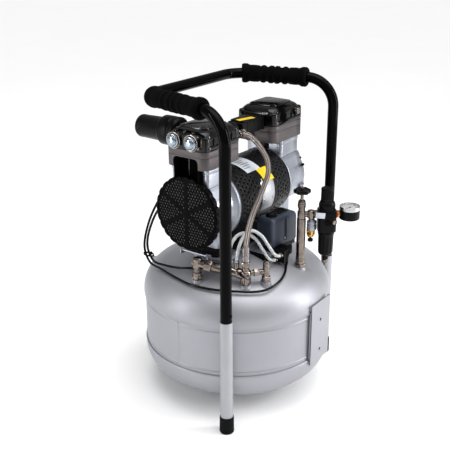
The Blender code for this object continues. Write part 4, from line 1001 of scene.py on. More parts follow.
def drum_patch(radius, angles, ends, lean=0.0, thick=0.0003):
    """A thin sticker on the motor: from one angle to another, between two stations along the shaft."""
    (a0, a1), (x0, x1) = angles, ends
    grid = []
    for i in range(17):
        angle = math.radians(a0 + (a1 - a0) * i / 16)
        row = []
        for k in range(9):
            x = x0 + (x1 - x0) * k / 8 + lean * (i / 16 - 0.5)
            row.append((x, (radius + thick) * math.cos(angle), (radius + thick) * math.sin(angle)))
        grid.append(row)
    return skin(grid, around=False)[0]


def motor():
    radius, core_low, core_high = 0.0695, -0.0138, 0.0318
    for name, low, high in (("motor_shell_left", -MOTOR_HALF, -0.0143), ("motor_shell_right", 0.0323,
            MOTOR_HALF)):
        girth = math.tau * radius
        columns = round(girth / 0.0105)
        pitch = girth / columns
        middle = (low + high) / 2

        def holes(u, v, low=low, high=high):
            return low + 0.010 < v + middle < high - 0.010 and (math.degrees(u / radius) % 40) > 7

        bm = hex_sheet(holes, lambda u,
                       v: -girth / 2 < u <= girth / 2 + 1e-6 and abs(v) < (high - low) / 2 - 0.003,
                       pitch, 0.0026, lambda u, v: on_drum(0.0690)(u, v + middle), 12, columns // 2 + 1)
        thicken(add(f"{name}_screen", bm, SHEET, PUMP), 0.0010)
        hoops = [put(ring(radius, radius - 0.002, a, b, 0.0007, 120), turn=ALONG_X)
                 for a, b in ((low, low + 0.0075), (high - 0.0075, high))]
        add(f"{name}_hoops", join(*hoops), SHEET, PUMP, node=name)
    band = ring(0.0683, 0.040, core_low, core_high, 0.0006, 120)
    add("stator_core", put(band, turn=ALONG_X), LAMINATION, PUMP, node="stator")
    rows = []
    for i in range(121):
        angle = math.radians(-152 + 305 * i / 120)
        rows.append([(x, reach * math.cos(angle), reach * math.sin(angle)) for x, reach in
                     ((core_low, 0.0685), (core_low, 0.0693), (core_high, 0.0693), (core_high, 0.0685))])
    wrap, loops = skin(rows)
    wrap.faces.new(loops[0])
    wrap.faces.new(loops[-1])
    add("motor_wrap", wrap, SHEET, PUMP)
    # A black ring inside the motor shell darkens what shows through the holes: painted shade behind the
    # perforated sheet.
    add("motor_shade_lining", put(ring(0.0600, 0.0390, -0.0895, 0.0895, 0.0005, 64), turn=ALONG_X), DARK, PUMP)
    add("white_sticker", drum_patch(0.0697, (92, 131), (-0.0400, 0.0050), 0.010), WHITE_LABEL, PUMP)
    add("yellow_sticker", drum_patch(0.0699, (131, 156), (-0.0030, 0.0300), 0.008), YELLOW_LABEL, PUMP)
    lines = [drum_patch(0.0699, (96 + 5 * i, 97.5 + 5 * i), (-0.0340, -0.0060 - 0.004 * (i % 3)),
                        0.0) for i in range(6)]
    add("white_sticker_bars", join(*lines), GREY_MARK, PUMP)
    rivets = []
    for angle in (150, 186, 222):
        for x in (-0.006, 0.024):
            rivet = turned([(0, 0.0680), (0.0030, 0.0680), (0.0024, 0.0694), (0, 0.0700)], 0.0005, 24)
            rivet.transform(Matrix.Translation((x, 0, 0)) @ about("X", angle - 90))
            rivets.append(rivet)
    add("stator_rivets", join(*rivets), STEEL, PUMP)


for side_name, side in (("left", -1), ("right", 1)):
    crankcase(f"crankcase_{side_name}", side)
    cylinder_block(f"cylinder_block_{side_name}", side)
    cylinder_head(f"cylinder_head_{side_name}", side)
    fan(f"fan_{side_name}", side, "rotor")
fan_grille("fan_grille_left", -1, 0.0737, END_FACE)
end_cover("fan_grille_right", 1, 0.058, END_FACE)
rim_clips("fan_grille_right", 1)
motor()

for name, y in (("front", -0.014), ("back", 0.027)):
    plug = turned([(0, 0), (0.0122, 0), (0.0135, 0.0015), (0.0135, 0.0032), (0.0118, 0.0042),
                   (0.0108, 0.0042),
                   (0.0104, 0.0058), (0.0085, 0.0078), (0.0050, 0.0088), (0, 0.0090)], 0.0005, 72)
    seat = ring(0.0164, 0.0137, -0.0020, 0.0010, 0.0006)
    at = (-CYLINDER_X - HEAD_LONG / 2 - 0.0003, y, 0.1395)
    add(f"plug_ring_{name}", put(seat, at, (0, -90, 0)), NICKEL_PAINTED_REFLECTION, PUMP)
    add(f"plug_{name}", put(plug, at, (0, -90, 0)), ZINC, PUMP, node=f"head_plug_{name}")


def strip(points, z, thick=0.0003):
    """A thin flat sticker through the given corners, at height z."""
    return loft([[(x, y, height) for x, y in points] for height in (z, z + thick)])


def crossover():
    face = CYLINDER_X - HEAD_LONG / 2 - 0.0003
    middle = (face - 0.018) / 2
    parts = [
        put(slab(face + 0.018, 0.038, 0.004, 0.120, 0.1455, 0.0014), (middle, -0.003, 0)),
        put(slab(face + 0.010, 0.034, 0.004, 0.1440, 0.1488, 0.0012), (middle + 0.003, -0.003, 0)),
        put(rod(0.0090, -face, -0.0100, 0.0008), (0, -0.003, 0.136), ALONG_X),
        put(rod(0.0112, -face, -face + 0.006, 0.0010), (0, -0.003, 0.136), ALONG_X),
        put(rod(0.0112, -0.030, -0.0160, 0.0010), (0, -0.003, 0.136), ALONG_X),
        put(slab(0.005, 0.040, 0.0015, 0.119, 0.1480, 0.0008), (face - 0.0030, -0.003, 0)),
    ]
    for x in (-0.012, 0.0, 0.012, 0.024, 0.036):
        parts.append(box((x - 0.0009, -0.0228, 0.123), (x + 0.0009, -0.0205, 0.144), 0.0004))
    add("crossover_box", join(*parts), PLASTIC, PUMP, node="crossover")
    corners_at = [(-0.0200, -0.0062), (0.0200, -0.0062), (0.0200, 0.0062), (-0.0200, 0.0062)]
    sticker = put(strip(corners_at, 0.0, 0.0003), (0.0085, -0.0105, 0.1488), (0, 0, -16))
    add("crossover_sticker", sticker, YELLOW_LABEL, PUMP)
    mark = put(strip([(0.002, -0.0028), (0.015, -0.0028), (0.015, -0.0012), (0.002, -0.0012)], 0.0003,
                     0.0001),
               (0.0085, -0.0105, 0.1488), (0, 0, -16))
    add("crossover_sticker_bar", mark, GREY_MARK, PUMP)


def intake_filter():
    start = HEAD_WIDE / 2 + 0.0003
    parts = [turned([
        (0, start), (0.0120, start), (0.0120, 0.0540), (0.0260, 0.0540), (0.0290, 0.0570), (0.0290, 0.0640),
        (0.0278, 0.0650), (0.0278, 0.0700), (0.0290, 0.0710), (0.0290, 0.0920), (0.0262, 0.0960),
        (0.0238, 0.0970),
        (0.0226, 0.1440), (0.0228, 0.1460), (0.0228, 0.1510), (0.0212, 0.1545), (0.0190, 0.1548),
        (0.0175, 0.1535),
        (0, 0.1535)], 0.0012, 96)]
    for i in range(36):
        rib = box((0.0279, -0.0008, 0.0730), (0.0290, 0.0008, 0.0905), 0.0003)
        rib.transform(Matrix.Rotation(math.tau * i / 36, 4, "Z"))
        parts.append(rib)
    add("intake_silencer", put(join(*parts), (-CYLINDER_X, 0, 0.1385), (-90, 0, 0)), PLASTIC, PUMP,
        node="intake_filter")


def pump_stand():
    low, high, shelf = 0.3263, 0.3293, 0.3187
    plate = put(slab(0.264, 0.104, 0.008, low, high, 0.0006), (PUMP_X, 0, 0))
    parts = [
        plate,
        box((-0.036, -0.0560, shelf), (0.030, -0.0530, high - 0.0004), 0.0006),
        box((-0.036, -0.0536, low + 0.0003), (0.030, -0.0480, high - 0.0003), 0.0006),
        box((-0.036, -0.1040, shelf), (0.030, -0.0533, shelf + 0.003), 0.0006),
        box((-0.124, 0.0495, low - 0.0080), (0.140, 0.0520, high - 0.0003), 0.0006),
        box((-0.124, -0.0520, low - 0.0080), (-0.060, -0.0495, high - 0.0003), 0.0006),
        box((0.060, -0.0520, low - 0.0080), (0.140, -0.0495, high - 0.0003), 0.0006),
        put(hexagon(0.0140, 0, 0.0050), (-0.1210, -0.0200, high)),
        put(rod(0.0060, 0.3183, high + 0.0040), (-0.1210, -0.0200, 0)),
    ]
    for x, y in STUDS:
        parts.append(put(hexagon(0.013, 0, 0.0055), (x, y, high)))
    parts.append(box((-0.0345, -0.1050, 0.3020), (0.030, -0.1034, shelf + 0.0020), 0.0005))
    add("stand_plate", join(*parts), CAST, node="pump_bracket")
    # The folded cheek under the wing's left edge is coloured black rubber so it reads dark: painted shade on the
    # side turned from the light.
    add("stand_cheek_painted_shade", box((-0.0362, -0.1046, 0.3035), (-0.0346, -0.0562, shelf + 0.0020), 0.0004), RUBBER)
    # A thin black rubber mat on the plate under the motor; its darkness stands in for the shade beneath the
    # motor, painted shade.
    mat = put(slab(0.150, 0.098, 0.006, high + 0.0002, high + 0.0018, 0.0005), (PUMP_X, 0, 0))
    add("stand_shade_mat", mat, RUBBER)
    for side, x in (("left", -0.112), ("right", 0.112)):
        mount = join(slab(0.040, 0.080, 0.010, high + 0.0003, 0.3365, 0.0016), slab(0.034, 0.074, 0.009,
                0.3350, 0.3440, 0.0010),
                     slab(0.040, 0.080, 0.010, 0.3425, 0.3497, 0.0016))
        add(f"mount_{side}", put(mount, (PUMP_X + x, 0, 0)), RUBBER, node=f"rubber_mount_{side}")


BAR_START, BAR_END = Vector((*CHECK_AT, 0.322)), Vector((*TEE_AT, 0.306))
BAR_LENGTH = (BAR_END - BAR_START).length


def check_valve():
    at = (*CHECK_AT, 0)
    foot = [(0, 0.2872), (0.0090, 0.2872), (0.0090, 0.3020), (0.0070, 0.3030), (0.0070, 0.3115),
            (0.0092, 0.3128),
            (0.0092, 0.3310), (0.0074, 0.3330), (0, 0.3330)]
    parts = [put(turned(foot, 0.0006), at), put(hexagon(0.0195, 0.2872, 0.2960), at),
             put(ring(0.0078, 0.0060, 0.3035, 0.3050), at),
             put(ring(0.0078, 0.0060, 0.3070, 0.3085), at)]
    limit = BAR_LENGTH - 0.0423
    bar = [(0, -0.0100), (0.0075, -0.0100), (0.0086, -0.0085), (0.0086, 0.0085), (0.0088, 0.0100),
           (0.0088, 0.0140),
           (0.0088, 0.0310), (0.0096, 0.0325), (0.0096, limit - 0.004), (0.0088, limit - 0.003),
           (0.0088, limit), (0, limit)]
    parts.append(aim(turned(bar, 0.0006), BAR_START, BAR_END))
    parts.append(aim(hexagon(0.0210, 0.0155, 0.0300), BAR_START, BAR_END))
    add("check_valve_body", join(*parts), NICKEL_PAINTED_REFLECTION, node="check_valve")


def manifold_tee():
    at, post_at = (*TEE_AT, 0), (*POST_AT, 0)
    column = [(0, 0.2855), (0.0092, 0.2855), (0.0105, 0.2872), (0.0105, 0.3145), (0.0088, 0.3165),
              (0.0065, 0.3175),
              (0.0065, 0.3220), (0.0080, 0.3230), (0.0080, 0.3345), (0.0062, 0.3352), (0.0062, 0.3520),
              (0, 0.3520)]
    parts = [put(turned(column, 0.0006), at), put(hexagon(0.0162, 0.3250, 0.3342), at)]
    length = BAR_LENGTH
    socket = [(0, length - 0.0420), (0.0090, length - 0.0420), (0.0096, length - 0.0400),
              (0.0096, length - 0.0310),
              (0.0090, length - 0.0295), (0.0090, length - 0.018), (0.0106, length - 0.016),
              (0.0108, length + 0.0055),
              (0.0096, length + 0.0085), (0.0060, length + 0.0105), (0, length + 0.0105)]
    parts.append(aim(turned(socket, 0.0006), BAR_START, BAR_END))
    parts.append(aim(hexagon(0.0200, length - 0.0400, length - 0.0310), BAR_START, BAR_END))
    low, far = Vector((*TEE_AT, 0.309)), Vector((*POST_AT, 0.309))
    reach = (far - low).length
    arm = [(0, 0), (0.0048, 0), (0.0048, 0.0150), (0.0070, 0.0160), (0.0070, 0.0258), (0.0050, 0.0268),
           (0.0050, 0.0300), (0.0058, 0.0310), (0.0058, 0.0345), (0.0048, 0.0355), (0.0048, reach + 0.0010),
           (0, reach + 0.0010)]
    parts.append(aim(turned(arm, 0.0005), low, far))
    parts.append(aim(hexagon(0.0142, 0.0160, 0.0255), low, far))
    post = [(0, 0.2860), (0.0086, 0.2860), (0.0086, 0.2990), (0.0066, 0.3000), (0.0066, 0.3215),
            (0.0052, 0.3230),
            (0.0052, 0.3300), (0.0044, 0.3310), (0, 0.3310)]
    parts += [put(turned(post, 0.0006), post_at), put(hexagon(0.0175, 0.2860, 0.2930), post_at),
              put(hexagon(0.0122, 0.3215, 0.3275), post_at)]
    for route in (CLEAR_TUBE_FRONT, CLEAR_TUBE_BACK):
        x, y, z = route[0]
        port = [(0, 0.3090), (0.0046, 0.3090), (0.0046, z - 0.0090), (0.0056, z - 0.0080),
                (0.0056, z - 0.0003), (0, z - 0.0003)]
        parts += [put(turned(port, 0.0005, 40), (x, y, 0)), put(hexagon(0.0108, z - 0.0120, z - 0.0070),
                                                                (x, y, 0))]
    add("tee_body", join(*parts), NICKEL_PAINTED_REFLECTION, node="manifold_tee")
    add("hose_ferrule_low", put(turned([(0.0054, 0.3362), (0.0080, 0.3362), (0.0080, 0.3384),
                                        (0.0072, 0.3392), (0.0072, 0.3470), (0.0076, 0.3476),
                                        (0.0076, 0.3492), (0.0072, 0.3498), (0.0072, 0.3640),
                                        (0.0064, 0.3652), (0.0054, 0.3652)],
                                       0.0004), at), FERRULE)
    hose_y, hose_z = BRAIDED_HOSE[0][1:]
    upper_end = turned([(0.0056, -0.0390), (0.0070, -0.0390), (0.0070, -0.0360), (0.0064, -0.0352),
                        (0.0064, -0.0320),
                        (0.0070, -0.0312), (0.0070, -0.0270), (0.0056, -0.0262)], 0.0003)
    add("hose_ferrule_high", put(upper_end, (0, hose_y, hose_z), ALONG_X), NICKEL_PAINTED_REFLECTION)
    add("hose_nut_high", put(hexagon(0.0150, -0.0478, -0.0400), (0, hose_y, hose_z), ALONG_X), NICKEL_PAINTED_REFLECTION)
    for i, route in enumerate((CLEAR_TUBE_FRONT, CLEAR_TUBE_BACK)):
        x, y, z = route[0]
        collet = ring(0.0050, 0.0034, z, z + 0.0035, 0.0006, 48)
        add(f"tube_collet_low_{i}", put(collet, (x, y, 0)), ZINC)
        x, y, z = route[-1]
        nut = put(ring(0.0056, 0.0034, -0.0070, -0.0004, 0.0006, 48), (x, y, z), ALONG_X)
        add(f"tube_collet_high_{i}", nut, NICKEL_PAINTED_REFLECTION)


def pressure_switch():
    long, wide, base_z, top_z = 0.080, 0.042, 0.3220, 0.3916
    low = base_z + 0.0093
    rings = []
    for z, inset, corner in ((low, 0.0012, 0.0045), (low + 0.0006, 0.0010, 0.005), (low + 0.0035, 0.0002,
            0.006), (low + 0.0045, 0, 0.006),
                             (top_z - 0.0120, 0.0002, 0.006), (top_z - 0.0075, 0.0007, 0.0055),
                             (top_z - 0.0040, 0.0018, 0.0052),
                             (top_z - 0.0015, 0.0036, 0.0046), (top_z - 0.0003, 0.0062, 0.0040),
                             (top_z, 0.0090, 0.0030)):
        rings.append(rounded(long - 2 * inset, wide - 2 * inset, corner, z, 8))
    cover = add("switch_case", loft(rings), SLATE, SWITCH, node="switch_cover")
    groove = box((-0.0030, -wide / 2 - 0.010, low + 0.007), (0.0060, -wide / 2 + 0.0022, top_z + 0.010),
                 0.0008)
    carve(cover, groove, "groove", SWITCH)
    for i, x in enumerate((-0.0345, 0.0345)):
        ledge = put(slab(0.006, wide + 0.0004, 0.0012, low + 0.0040, low + 0.0052, 0.0003, 4), (x, 0, 0))
        add(f"switch_ledge_{i}", ledge, SLATE, SWITCH)
    screw = put(socket_screw(0.0021, 0.0016), (0.0019, -wide / 2 + 0.0022, low + 0.0115), (90, 0, 0))
    add("switch_screw", screw, STEEL, SWITCH)
    recess = put(slab(0.026, 0.024, 0.004, 0, 0.0009, 0.0003), (-0.020, -0.002, top_z - 0.0008))
    add("switch_knob_plate", recess, SLATE, SWITCH)
    knob = [turned([(0, 0.0003), (0.0112, 0.0003), (0.0120, 0.0014), (0.0118, 0.0032), (0.0110, 0.0066),
                    (0.0098, 0.0080), (0, 0.0080)], 0.0008)]
    knob.append(box((-0.0100, -0.0018, 0.0070), (0.0100, 0.0018, 0.0098), 0.0007))
    for i in range(16):
        rib = box((0.0106, -0.0006, 0.0022), (0.0117, 0.0006, 0.0064), 0.0003)
        rib.transform(Matrix.Rotation(math.tau * i / 16, 4, "Z"))
        knob.append(rib)
    add("switch_dial", put(join(*knob), (-0.020, -0.002, top_z)), PLASTIC, SWITCH, "switch_knob",
        "switch_knob")
    hatch = put(slab(0.030, 0.022, 0.004, 0, 0.0030, 0.0008), (0.0125, 0.004, top_z - 0.0006))
    add("switch_hatch", hatch, PLASTIC, SWITCH)
    for i, (x, y) in enumerate(((0.004, 0.008), (0.021, 0.0))):
        cross_head = put(turned([(0, 0), (0.0045, 0), (0.0042, 0.0012), (0.0020, 0.0016), (0, 0.0016)],
                                0.0004, 32), (x, y, top_z + 0.0022))
        add(f"switch_top_screw_{i}", cross_head, PLASTIC, SWITCH)
    plate = slab(long - 0.004, wide - 0.004, 0.004, base_z, base_z + 0.009, 0.0010)
    add("switch_foot", plate, PLASTIC, SWITCH, node="switch_base")
    gland_x, gland_y, gland_z = SUPPLY_CABLE[-1]
    pieces = [
        box((-0.0197, -0.1300, 0.3045), (-0.0060, -0.1050, 0.3300), 0.0012),
        box((-0.0070, -0.1290, gland_z + 0.0006), (0.0130, -0.1060, 0.3300), 0.0014),
        put(turned([(0, 0.3170), (0.0062, 0.3170), (0.0062, 0.3230), (0.0080, 0.3240), (0.0080, 0.3280),
                    (0, 0.3280)], 0.0006, 48), (0.0420, -0.1030, 0)),
        put(hexagon(0.0130, 0.3110, 0.3180), (0.0420, -0.1030, 0)),
        put(hexagon(0.0150, gland_z + 0.0005, gland_z + 0.0070), (gland_x, gland_y, 0)),
    ]
    add("switch_ports", join(*pieces), PLASTIC)
    relief = [(0.0028, 0.3060), (0.0036, 0.3060), (0.0056, gland_z + 0.0006), (0.0028, gland_z + 0.0006)]
    add("supply_gland_low", put(turned(relief, 0.0004, 40), (gland_x, gland_y, 0)), PLASTIC)
    pipe = put(turned([(0, 0.2985), (0.0052, 0.2985), (0.0052, 0.3090), (0.0070, 0.3100), (0.0070, 0.3160),
                       (0, 0.3160)], 0.0005, 40),
               (-0.0130, -0.1180, 0))
    add("switch_nipple", pipe, NICKEL_PAINTED_REFLECTION)


def cable_glands():
    """Tapered sleeves where the cables leave the pump, and the tie that holds them together."""
    for name, route in (("supply", SUPPLY_CABLE), ("motor", MOTOR_CABLE)):
        x, y, z = route[0]
        taper = turned([(0.0028, -0.0022), (0.0068, -0.0022), (0.0064, 0.0030), (0.0038, 0.0065),
                        (0.0028, 0.0065)], 0.0006, 40)
        add(f"{name}_gland", put(taper, (x, y, z), (-90, 0, 0)), PLASTIC)
    x, y, z = MOTOR_CABLE[-1]
    taper = turned([(0.0028, z - 0.010), (0.0036, z - 0.010), (0.0060, z - 0.0005), (0.0028, z - 0.0005)],
                   0.0004, 40)
    add("motor_gland_low", put(taper, (x, y, 0)), PLASTIC)
    loop = []
    middle = Vector((-0.1280, 0.1333, 0.2980))
    for i in range(32):
        angle = math.tau * i / 32
        loop.append(middle + Vector((0.0066 * math.cos(angle), 0.0128 * math.sin(angle), 0.0)))
    half = Vector((0, 0, 0.0018))
    rows = []
    for point in loop:
        out = (point - middle).normalized() * 0.0007
        rows.append([point - half, point + out - half, point + out + half, point + half])
    clasp = box((-0.1228, 0.1308, 0.2950), (-0.1186, 0.1358, 0.3010), 0.0006)
    add("cable_tie", join(tube_of(rows), clasp), PLASTIC)


RELIEF_AT = (0.0190, 0, 0)


def outlet_valve():
    profile = [(0, 0.2868), (0.0092, 0.2868), (0.0098, 0.3010), (0.0090, 0.3022), (0.0090, 0.3905),
               (0.0084, 0.3920), (0.0084, 0.4060),
               (0.0068, 0.4078), (0.0068, 0.4130), (0.0076, 0.4140), (0.0076, 0.4270), (0.0062, 0.4298),
               (0.0036, 0.4298), (0.0036, 0.4050), (0, 0.4050)]
    parts = [spun([(radius, height - LINE_Z) for radius, height in eased(profile, 0.0005)], 72)]
    parts.append(put(hexagon(0.0212, 0.2868, 0.2950), (0, 0, -LINE_Z)))
    for low in (0.2985, 0.3012, 0.3040, 0.3066):
        parts.append(ring(0.0095, 0.0070, low - LINE_Z, low + 0.0012 - LINE_Z, 0.0004))
    gland = ring(0.0082, 0.0036, 0.4155 - LINE_Z, 0.4240 - LINE_Z, 0.0006)
    parts.append(gland)
    bore = 0.050 - 0.0188
    parts.append(put(turned([(0, 0.006), (0.0060, 0.006), (0.0060, 0.0110), (0.0068, 0.0118),
                             (0.0068, 0.0135), (0.0060, 0.0143),
                             (0.0060, bore), (0, bore)], 0.0004), turn=ALONG_X))
    parts.append(put(hexagon(0.0146, 0.0120, 0.0150), turn=ALONG_X))
    parts.append(put(hexagon(0.0150, 0.0245, bore), turn=ALONG_X))
    parts.append(put(rod(0.0052, -0.0100, 0), RELIEF_AT))
    parts.append(put(turned([(0, -0.0075), (0.0075, -0.0075), (0.0075, 0.0070), (0.0060, 0.0085),
                             (0, 0.0085)], 0.0008), RELIEF_AT))
    add("outlet_body", join(*parts), NICKEL_PAINTED_REFLECTION, LINE, node="outlet_valve")


def shut_off():
    stem = [(0, 0.0045), (0.0032, 0.0045), (0.0032, 0.0436), (0.0022, 0.0444), (0.0022, 0.0548), (0, 0.0548)]
    add("stem_rod", turned(stem, 0.0003, 40), NICKEL_PAINTED_REFLECTION, LINE, "valve_stem", "valve_stem")
    add("stem_nut", hexagon(0.0064, 0.0526, 0.0558), NICKEL_PAINTED_REFLECTION, LINE, "valve_stem")
    lobes, count = 6, 144
    levels = [(0.42, 0.0455, 0.0), (0.80, 0.0455, 0.3), (0.94, 0.0449, 0.8), (0.985, 0.0457, 1.0),
              (1.0, 0.0475, 1.0), (1.0, 0.0500, 1.0),
              (0.98, 0.0517, 1.0), (0.92, 0.0525, 0.8), (0.84, 0.0520, 0.5), (0.78, 0.0503, 0.3),
              (0.45, 0.0503, 0.0), (0.40, 0.0512, 0.0), (0.36, 0.0520, 0.0)]
    rings = []
    for k, z, wavy in levels:
        loop = []
        for i in range(count):
            angle = math.tau * i / count
            radius = (0.0158 + 0.0014 * wavy * math.cos(lobes * angle)) * k
            loop.append((radius * math.cos(angle), radius * math.sin(angle), z))
        rings.append(loop)
    rings += [circle(0.0026, 0.0520, count), circle(0.0026, 0.0450, count)]
    add("wheel", tube_of(rings), PLASTIC, LINE, "handwheel", "handwheel")


def relief_valve():
    body = turned([(0, -0.0103), (0.0062, -0.0103), (0.0062, -0.0130), (0.0096, -0.0142), (0.0096, -0.0190),
                   (0.0088, -0.0196),
                   (0.0088, -0.0214), (0.0096, -0.0220), (0.0096, -0.0322), (0, -0.0322)], 0.0006)
    add("relief_body", put(body, (0.0206, 0, 0)), CAST, LINE, node="relief_valve")
    cap = turned([(0.0026, -0.0320), (0.0068, -0.0320), (0.0068, -0.0452), (0.0056, -0.0478),
                  (0.0026, -0.0478)], 0.0005)
    add("relief_cap", put(join(cap, hexagon(0.0160, -0.0425, -0.0326)), RELIEF_AT), BRASS, LINE)
    pull = [(0, -0.0405), (0.0021, -0.0405), (0.0021, -0.0515), (0.0048, -0.0522), (0.0055, -0.0530),
            (0.0055, -0.0568), (0.0046, -0.0578), (0, -0.0580)]
    add("relief_knob", put(turned(pull, 0.0004, 48), RELIEF_AT), PLASTIC, LINE, "relief_pull", "relief_pull")


def fluted(outline, flutes, depth, steps):
    """A turned knob whose side carries upright flutes, from (radius, height, flute share) levels."""
    rings = []
    for radius, z, share in outline:
        loop = []
        for i in range(steps):
            angle = math.tau * i / steps
            dip = depth * share * (0.5 + 0.5 * math.cos(flutes * angle)) ** 2
            loop.append(((radius - dip) * math.cos(angle), (radius - dip) * math.sin(angle), z))
        rings.append(loop)
    return loft(rings)


def regulator():
    at = (0.050, 0, 0)
    parts = [put(slab(0.0368, 0.0358, 0.0085, -0.0340, 0.0098, 0.0016), at),
             put(turned([(0.0045, 0.0080), (0.0165, 0.0080), (0.0165, 0.0125), (0.0158, 0.0132),
                         (0.0158, 0.0145), (0.0165, 0.0152),
                         (0.0165, 0.0215), (0.0148, 0.0262), (0.0135, 0.0280), (0.0045, 0.0280)], 0.0006),
                 at)]
    for sx in (-1, 1):
        port = [(0, 0.0150), (0.0105, 0.0150), (0.0105, 0.0178), (0.0096, 0.0184), (0, 0.0184)]
        parts.append(put(turned(port, 0.0005), at, (0, 90 * sx, 0)))
    for sy in (-1, 1):
        parts.append(put(turned([(0, 0.0150), (0.0088, 0.0150), (0.0088, 0.0172), (0.0078, 0.0179),
                                 (0, 0.0179)], 0.0005), (0.050, 0, -0.012), (-90 * sy, 0, 0)))
        for z in (0.0040, -0.0280):
            parts.append(put(box((-0.0130, -0.0006, -0.0008), (0.0130, 0.0006, 0.0008), 0.0004),
                             (0.050, sy * 0.0176, z)))
    add("regulator_case", join(*parts), PLASTIC, LINE, node="regulator_body")
    seat = rod(0.0062, -0.006, 0.0009, 0.0005, 40)
    turn = Matrix.Translation((0.0634, -0.0160, -0.012)) @ about("Z", 28) @ about("X", 90)
    seat.transform(turn)
    add("regulator_plug_seat", seat, PLASTIC, LINE)
    screw = turned([(0, 0.0006), (0.0046, 0.0006), (0.0044, 0.0014), (0.0030, 0.0016), (0.0026, 0.0011),
                    (0, 0.0011)], 0.0002, 40)
    screw.transform(turn)
    add("regulator_plug", screw, NICKEL_PAINTED_REFLECTION, LINE)
    levels = [(0.0122, 0.0283, 0), (0.0130, 0.0288, 0), (0.0132, 0.0305, 0), (0.0132, 0.0325, 0),
              (0.0126, 0.0332, 0.3), (0.0129, 0.0345, 1),
              (0.0127, 0.0440, 1), (0.0126, 0.0500, 1), (0.0130, 0.0512, 0.3), (0.0130, 0.0530, 0),
              (0.0124, 0.0546, 0), (0.0105, 0.0554, 0),
              (0.0085, 0.0555, 0), (0.0082, 0.0548, 0), (0.0010, 0.0548, 0)]
    knob = fluted(levels, 18, 0.0011, 216)
    add("regulator_cap", put(knob, at), PLASTIC, LINE, "regulator_knob", "regulator_knob")
    bowl = fluted([(0.0120, -0.0343, 0), (0.0160, -0.0345, 0), (0.0165, -0.0355, 0), (0.0165, -0.0415, 0),
                   (0.0158, -0.0426, 0), (0.0155, -0.0440, 1),
                   (0.0152, -0.0600, 1), (0.0149, -0.0780, 1), (0.0146, -0.0800, 0.2), (0.0140, -0.0825, 0),
                   (0.0120, -0.0852, 0), (0.0085, -0.0868, 0),
                   (0.0066, -0.0872, 0), (0.0065, -0.0880, 0), (0.0065, -0.0955, 0), (0.0060, -0.0960, 0),
                   (0.0033, -0.0960, 0), (0.0033, -0.0905, 0)],
                  12, 0.0009, 144)
    add("regulator_cup", put(bowl, at), PLASTIC, LINE, node="regulator_bowl")
    drain = [(0, -0.0905), (0.0028, -0.0905), (0.0028, -0.0963), (0.0050, -0.0970), (0.0060, -0.0980),
             (0.0060, -0.1035), (0.0046, -0.1058),
             (0.0034, -0.1068), (0.0034, -0.1098), (0, -0.1100)]
    add("drain_tip", put(turned(drain, 0.0004, 48), at), NICKEL_PAINTED_REFLECTION, LINE, "bowl_drain", "bowl_drain")
    tag = put(slab(0.0190, 0.0007, 0.0002, 0.0, 0.0115, 0.0001, 2), (0.0345, -0.0193, -0.0022), (0, 6, 4))
    add("blank_tag", tag, WHITE_LABEL, LINE)


def gauge():
    at = (0.095, 0, 0)
    case = [(0, -0.0100), (0.0150, -0.0100), (0.0188, -0.0096), (0.0203, -0.0082), (0.0203, 0.0100),
            (0.0196, 0.0105), (0, 0.0105)]
    add("gauge_shell", put(turned(case, 0.0008, 96), at), PLASTIC, LINE, node="gauge_case")
    bezel = [(0.0198, 0.0095), (0.0205, 0.0100), (0.0205, 0.0164), (0.0197, 0.0175), (0.0184, 0.0172),
             (0.0184, 0.0125), (0.0190, 0.0120), (0.0190, 0.0100)]
    add("gauge_bezel", put(turned(bezel, 0.0005, 96), at), STEEL, LINE)
    add("gauge_dial", put(turned([(0, 0.0100), (0.0189, 0.0100), (0.0189, 0.0124), (0, 0.0124)], 0.0002, 96),
                          at), DIAL, LINE)
    ticks = []
    for i in range(31):
        angle = math.radians(225 - 270 * i / 30)
        long_tick = i % 5 == 0
        bar = box((0.0135 if long_tick else 0.0150, -0.00022 - 0.00012 * long_tick, 0.01235),
                  (0.0168, 0.00022 + 0.00012 * long_tick, 0.01250), 0)
        bar.transform(Matrix.Rotation(angle, 4, "Z"))
        ticks.append(bar)
    add("gauge_ticks", put(join(*ticks), at), DARK, LINE)
    arc = []
    for radius, z in ((0.0122, 0.01235), (0.0129, 0.01235), (0.0129, 0.01248), (0.0122, 0.01248)):
        arc.append([(radius * math.cos(math.radians(a)), radius * math.sin(math.radians(a)),
                     z) for a in range(-45, 30, 3)])
    add("gauge_red_arc", put(skin(arc, wraps=True, around=False)[0], at), RED, LINE)
    needle = loft([[(-0.0045, -0.0007, z), (-0.0015, -0.0010, z), (0.0150, -0.0002, z), (0.0150, 0.0002, z),
                    (-0.0015, 0.0010, z), (-0.0045, 0.0007, z)]
                   for z in (0.0130, 0.0136)])
    hub = turned([(0, 0.0129), (0.0019, 0.0129), (0.0019, 0.0140), (0.0012, 0.0145), (0, 0.0145)], 0.0002, 32)
    add("needle", put(join(needle, hub), at, (0, 0, 225)), GLOSS_BLACK, LINE, "gauge_pointer",
        "gauge_pointer")
    lens = turned([(0, 0.0158), (0.0188, 0.0158), (0.0188, 0.0166), (0.0150, 0.0170), (0, 0.0172)], 0.0002,
                  72)
    add("gauge_lens", put(lens, at), LENS, LINE)
    reach = 0.045
    stem = put(turned([(0, -reach + 0.0188), (0.0052, -reach + 0.0188), (0.0052, -0.0150), (0, -0.0150)],
                      0.0003), at, ALONG_X)
    nut = put(hexagon(0.0134, -reach + 0.0212, -0.0205), at, ALONG_X)
    add("gauge_fitting", join(stem, nut), BRASS, LINE)
    collar = put(ring(0.0080, 0.0053, -reach + 0.0187, -reach + 0.0207, 0.0004), at, ALONG_X)
    add("gauge_red_ring", collar, RED, LINE)


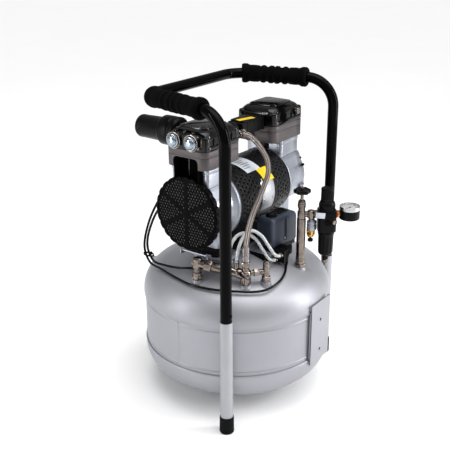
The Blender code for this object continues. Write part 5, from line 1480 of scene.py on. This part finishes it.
crossover()
intake_filter()
pump_stand()
check_valve()
manifold_tee()
pressure_switch()
cable_glands()
outlet_valve()
shut_off()
relief_valve()
regulator()
gauge()

# Nodes kept as the CAD has them
for name, look in (("piston_left", CAST), ("piston_right", CAST), ("crankshaft", STEEL),
                   ("regulator_screw", STEEL)):
    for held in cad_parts[name].material_slots:
        held.material = look


# Floor and light

FLOOR_R, FLOOR_Z = 16, -0.0006
WORLD_STRENGTH, SUN_STRENGTH, SUN_SPREAD, SUN_TILT = 0.42, 2.05, 70, (19, 3, 0)
bm = bmesh.new()
bm.faces.new([bm.verts.new(point) for point in circle(FLOOR_R, FLOOR_Z, 96)])
floor_mesh = bpy.data.meshes.new("floor")
bm.to_mesh(floor_mesh)
bm.free()
floor_mesh.materials.append(FLOOR)
floor = bpy.data.objects.new("floor", floor_mesh)
bpy.context.scene.collection.objects.link(floor)

world = bpy.data.worlds.new("studio")
world.use_nodes = True
world.node_tree.nodes["Background"].inputs["Color"].default_value = (1.0, 1.0, 1.0, 1)
world.node_tree.nodes["Background"].inputs["Strength"].default_value = WORLD_STRENGTH
bpy.context.scene.world = world
bpy.context.scene.view_settings.view_transform = "Standard"


def softbox(name, place, size, power, aim_at=(0.0, 0.0, 0.35)):
    lamp = bpy.data.lights.new(name, "AREA")
    lamp.shape = "RECTANGLE"
    lamp.size, lamp.size_y = size
    lamp.energy = power
    holder = bpy.data.objects.new(name, lamp)
    facing = (Vector(aim_at) - Vector(place)).to_track_quat("-Z", "Y").to_matrix().to_4x4()
    holder.matrix_world = Matrix.Translation(place) @ facing
    bpy.context.scene.collection.objects.link(holder)


softbox("light_left", (-1.5, 0.9, 0.75), (0.09, 1.4), 10)
softbox("light_right", (0.9, -1.7, 0.85), (0.10, 1.5), 26)
softbox("light_top", (-0.2, -0.1, 2.4), (1.6, 1.2), 16)
sun = bpy.data.lights.new("light_sky", "SUN")
sun.energy = SUN_STRENGTH
sun.angle = math.radians(SUN_SPREAD)
sky = bpy.data.objects.new("light_sky", sun)
sky.rotation_euler = [math.radians(angle) for angle in SUN_TILT]
bpy.context.scene.collection.objects.link(sky)
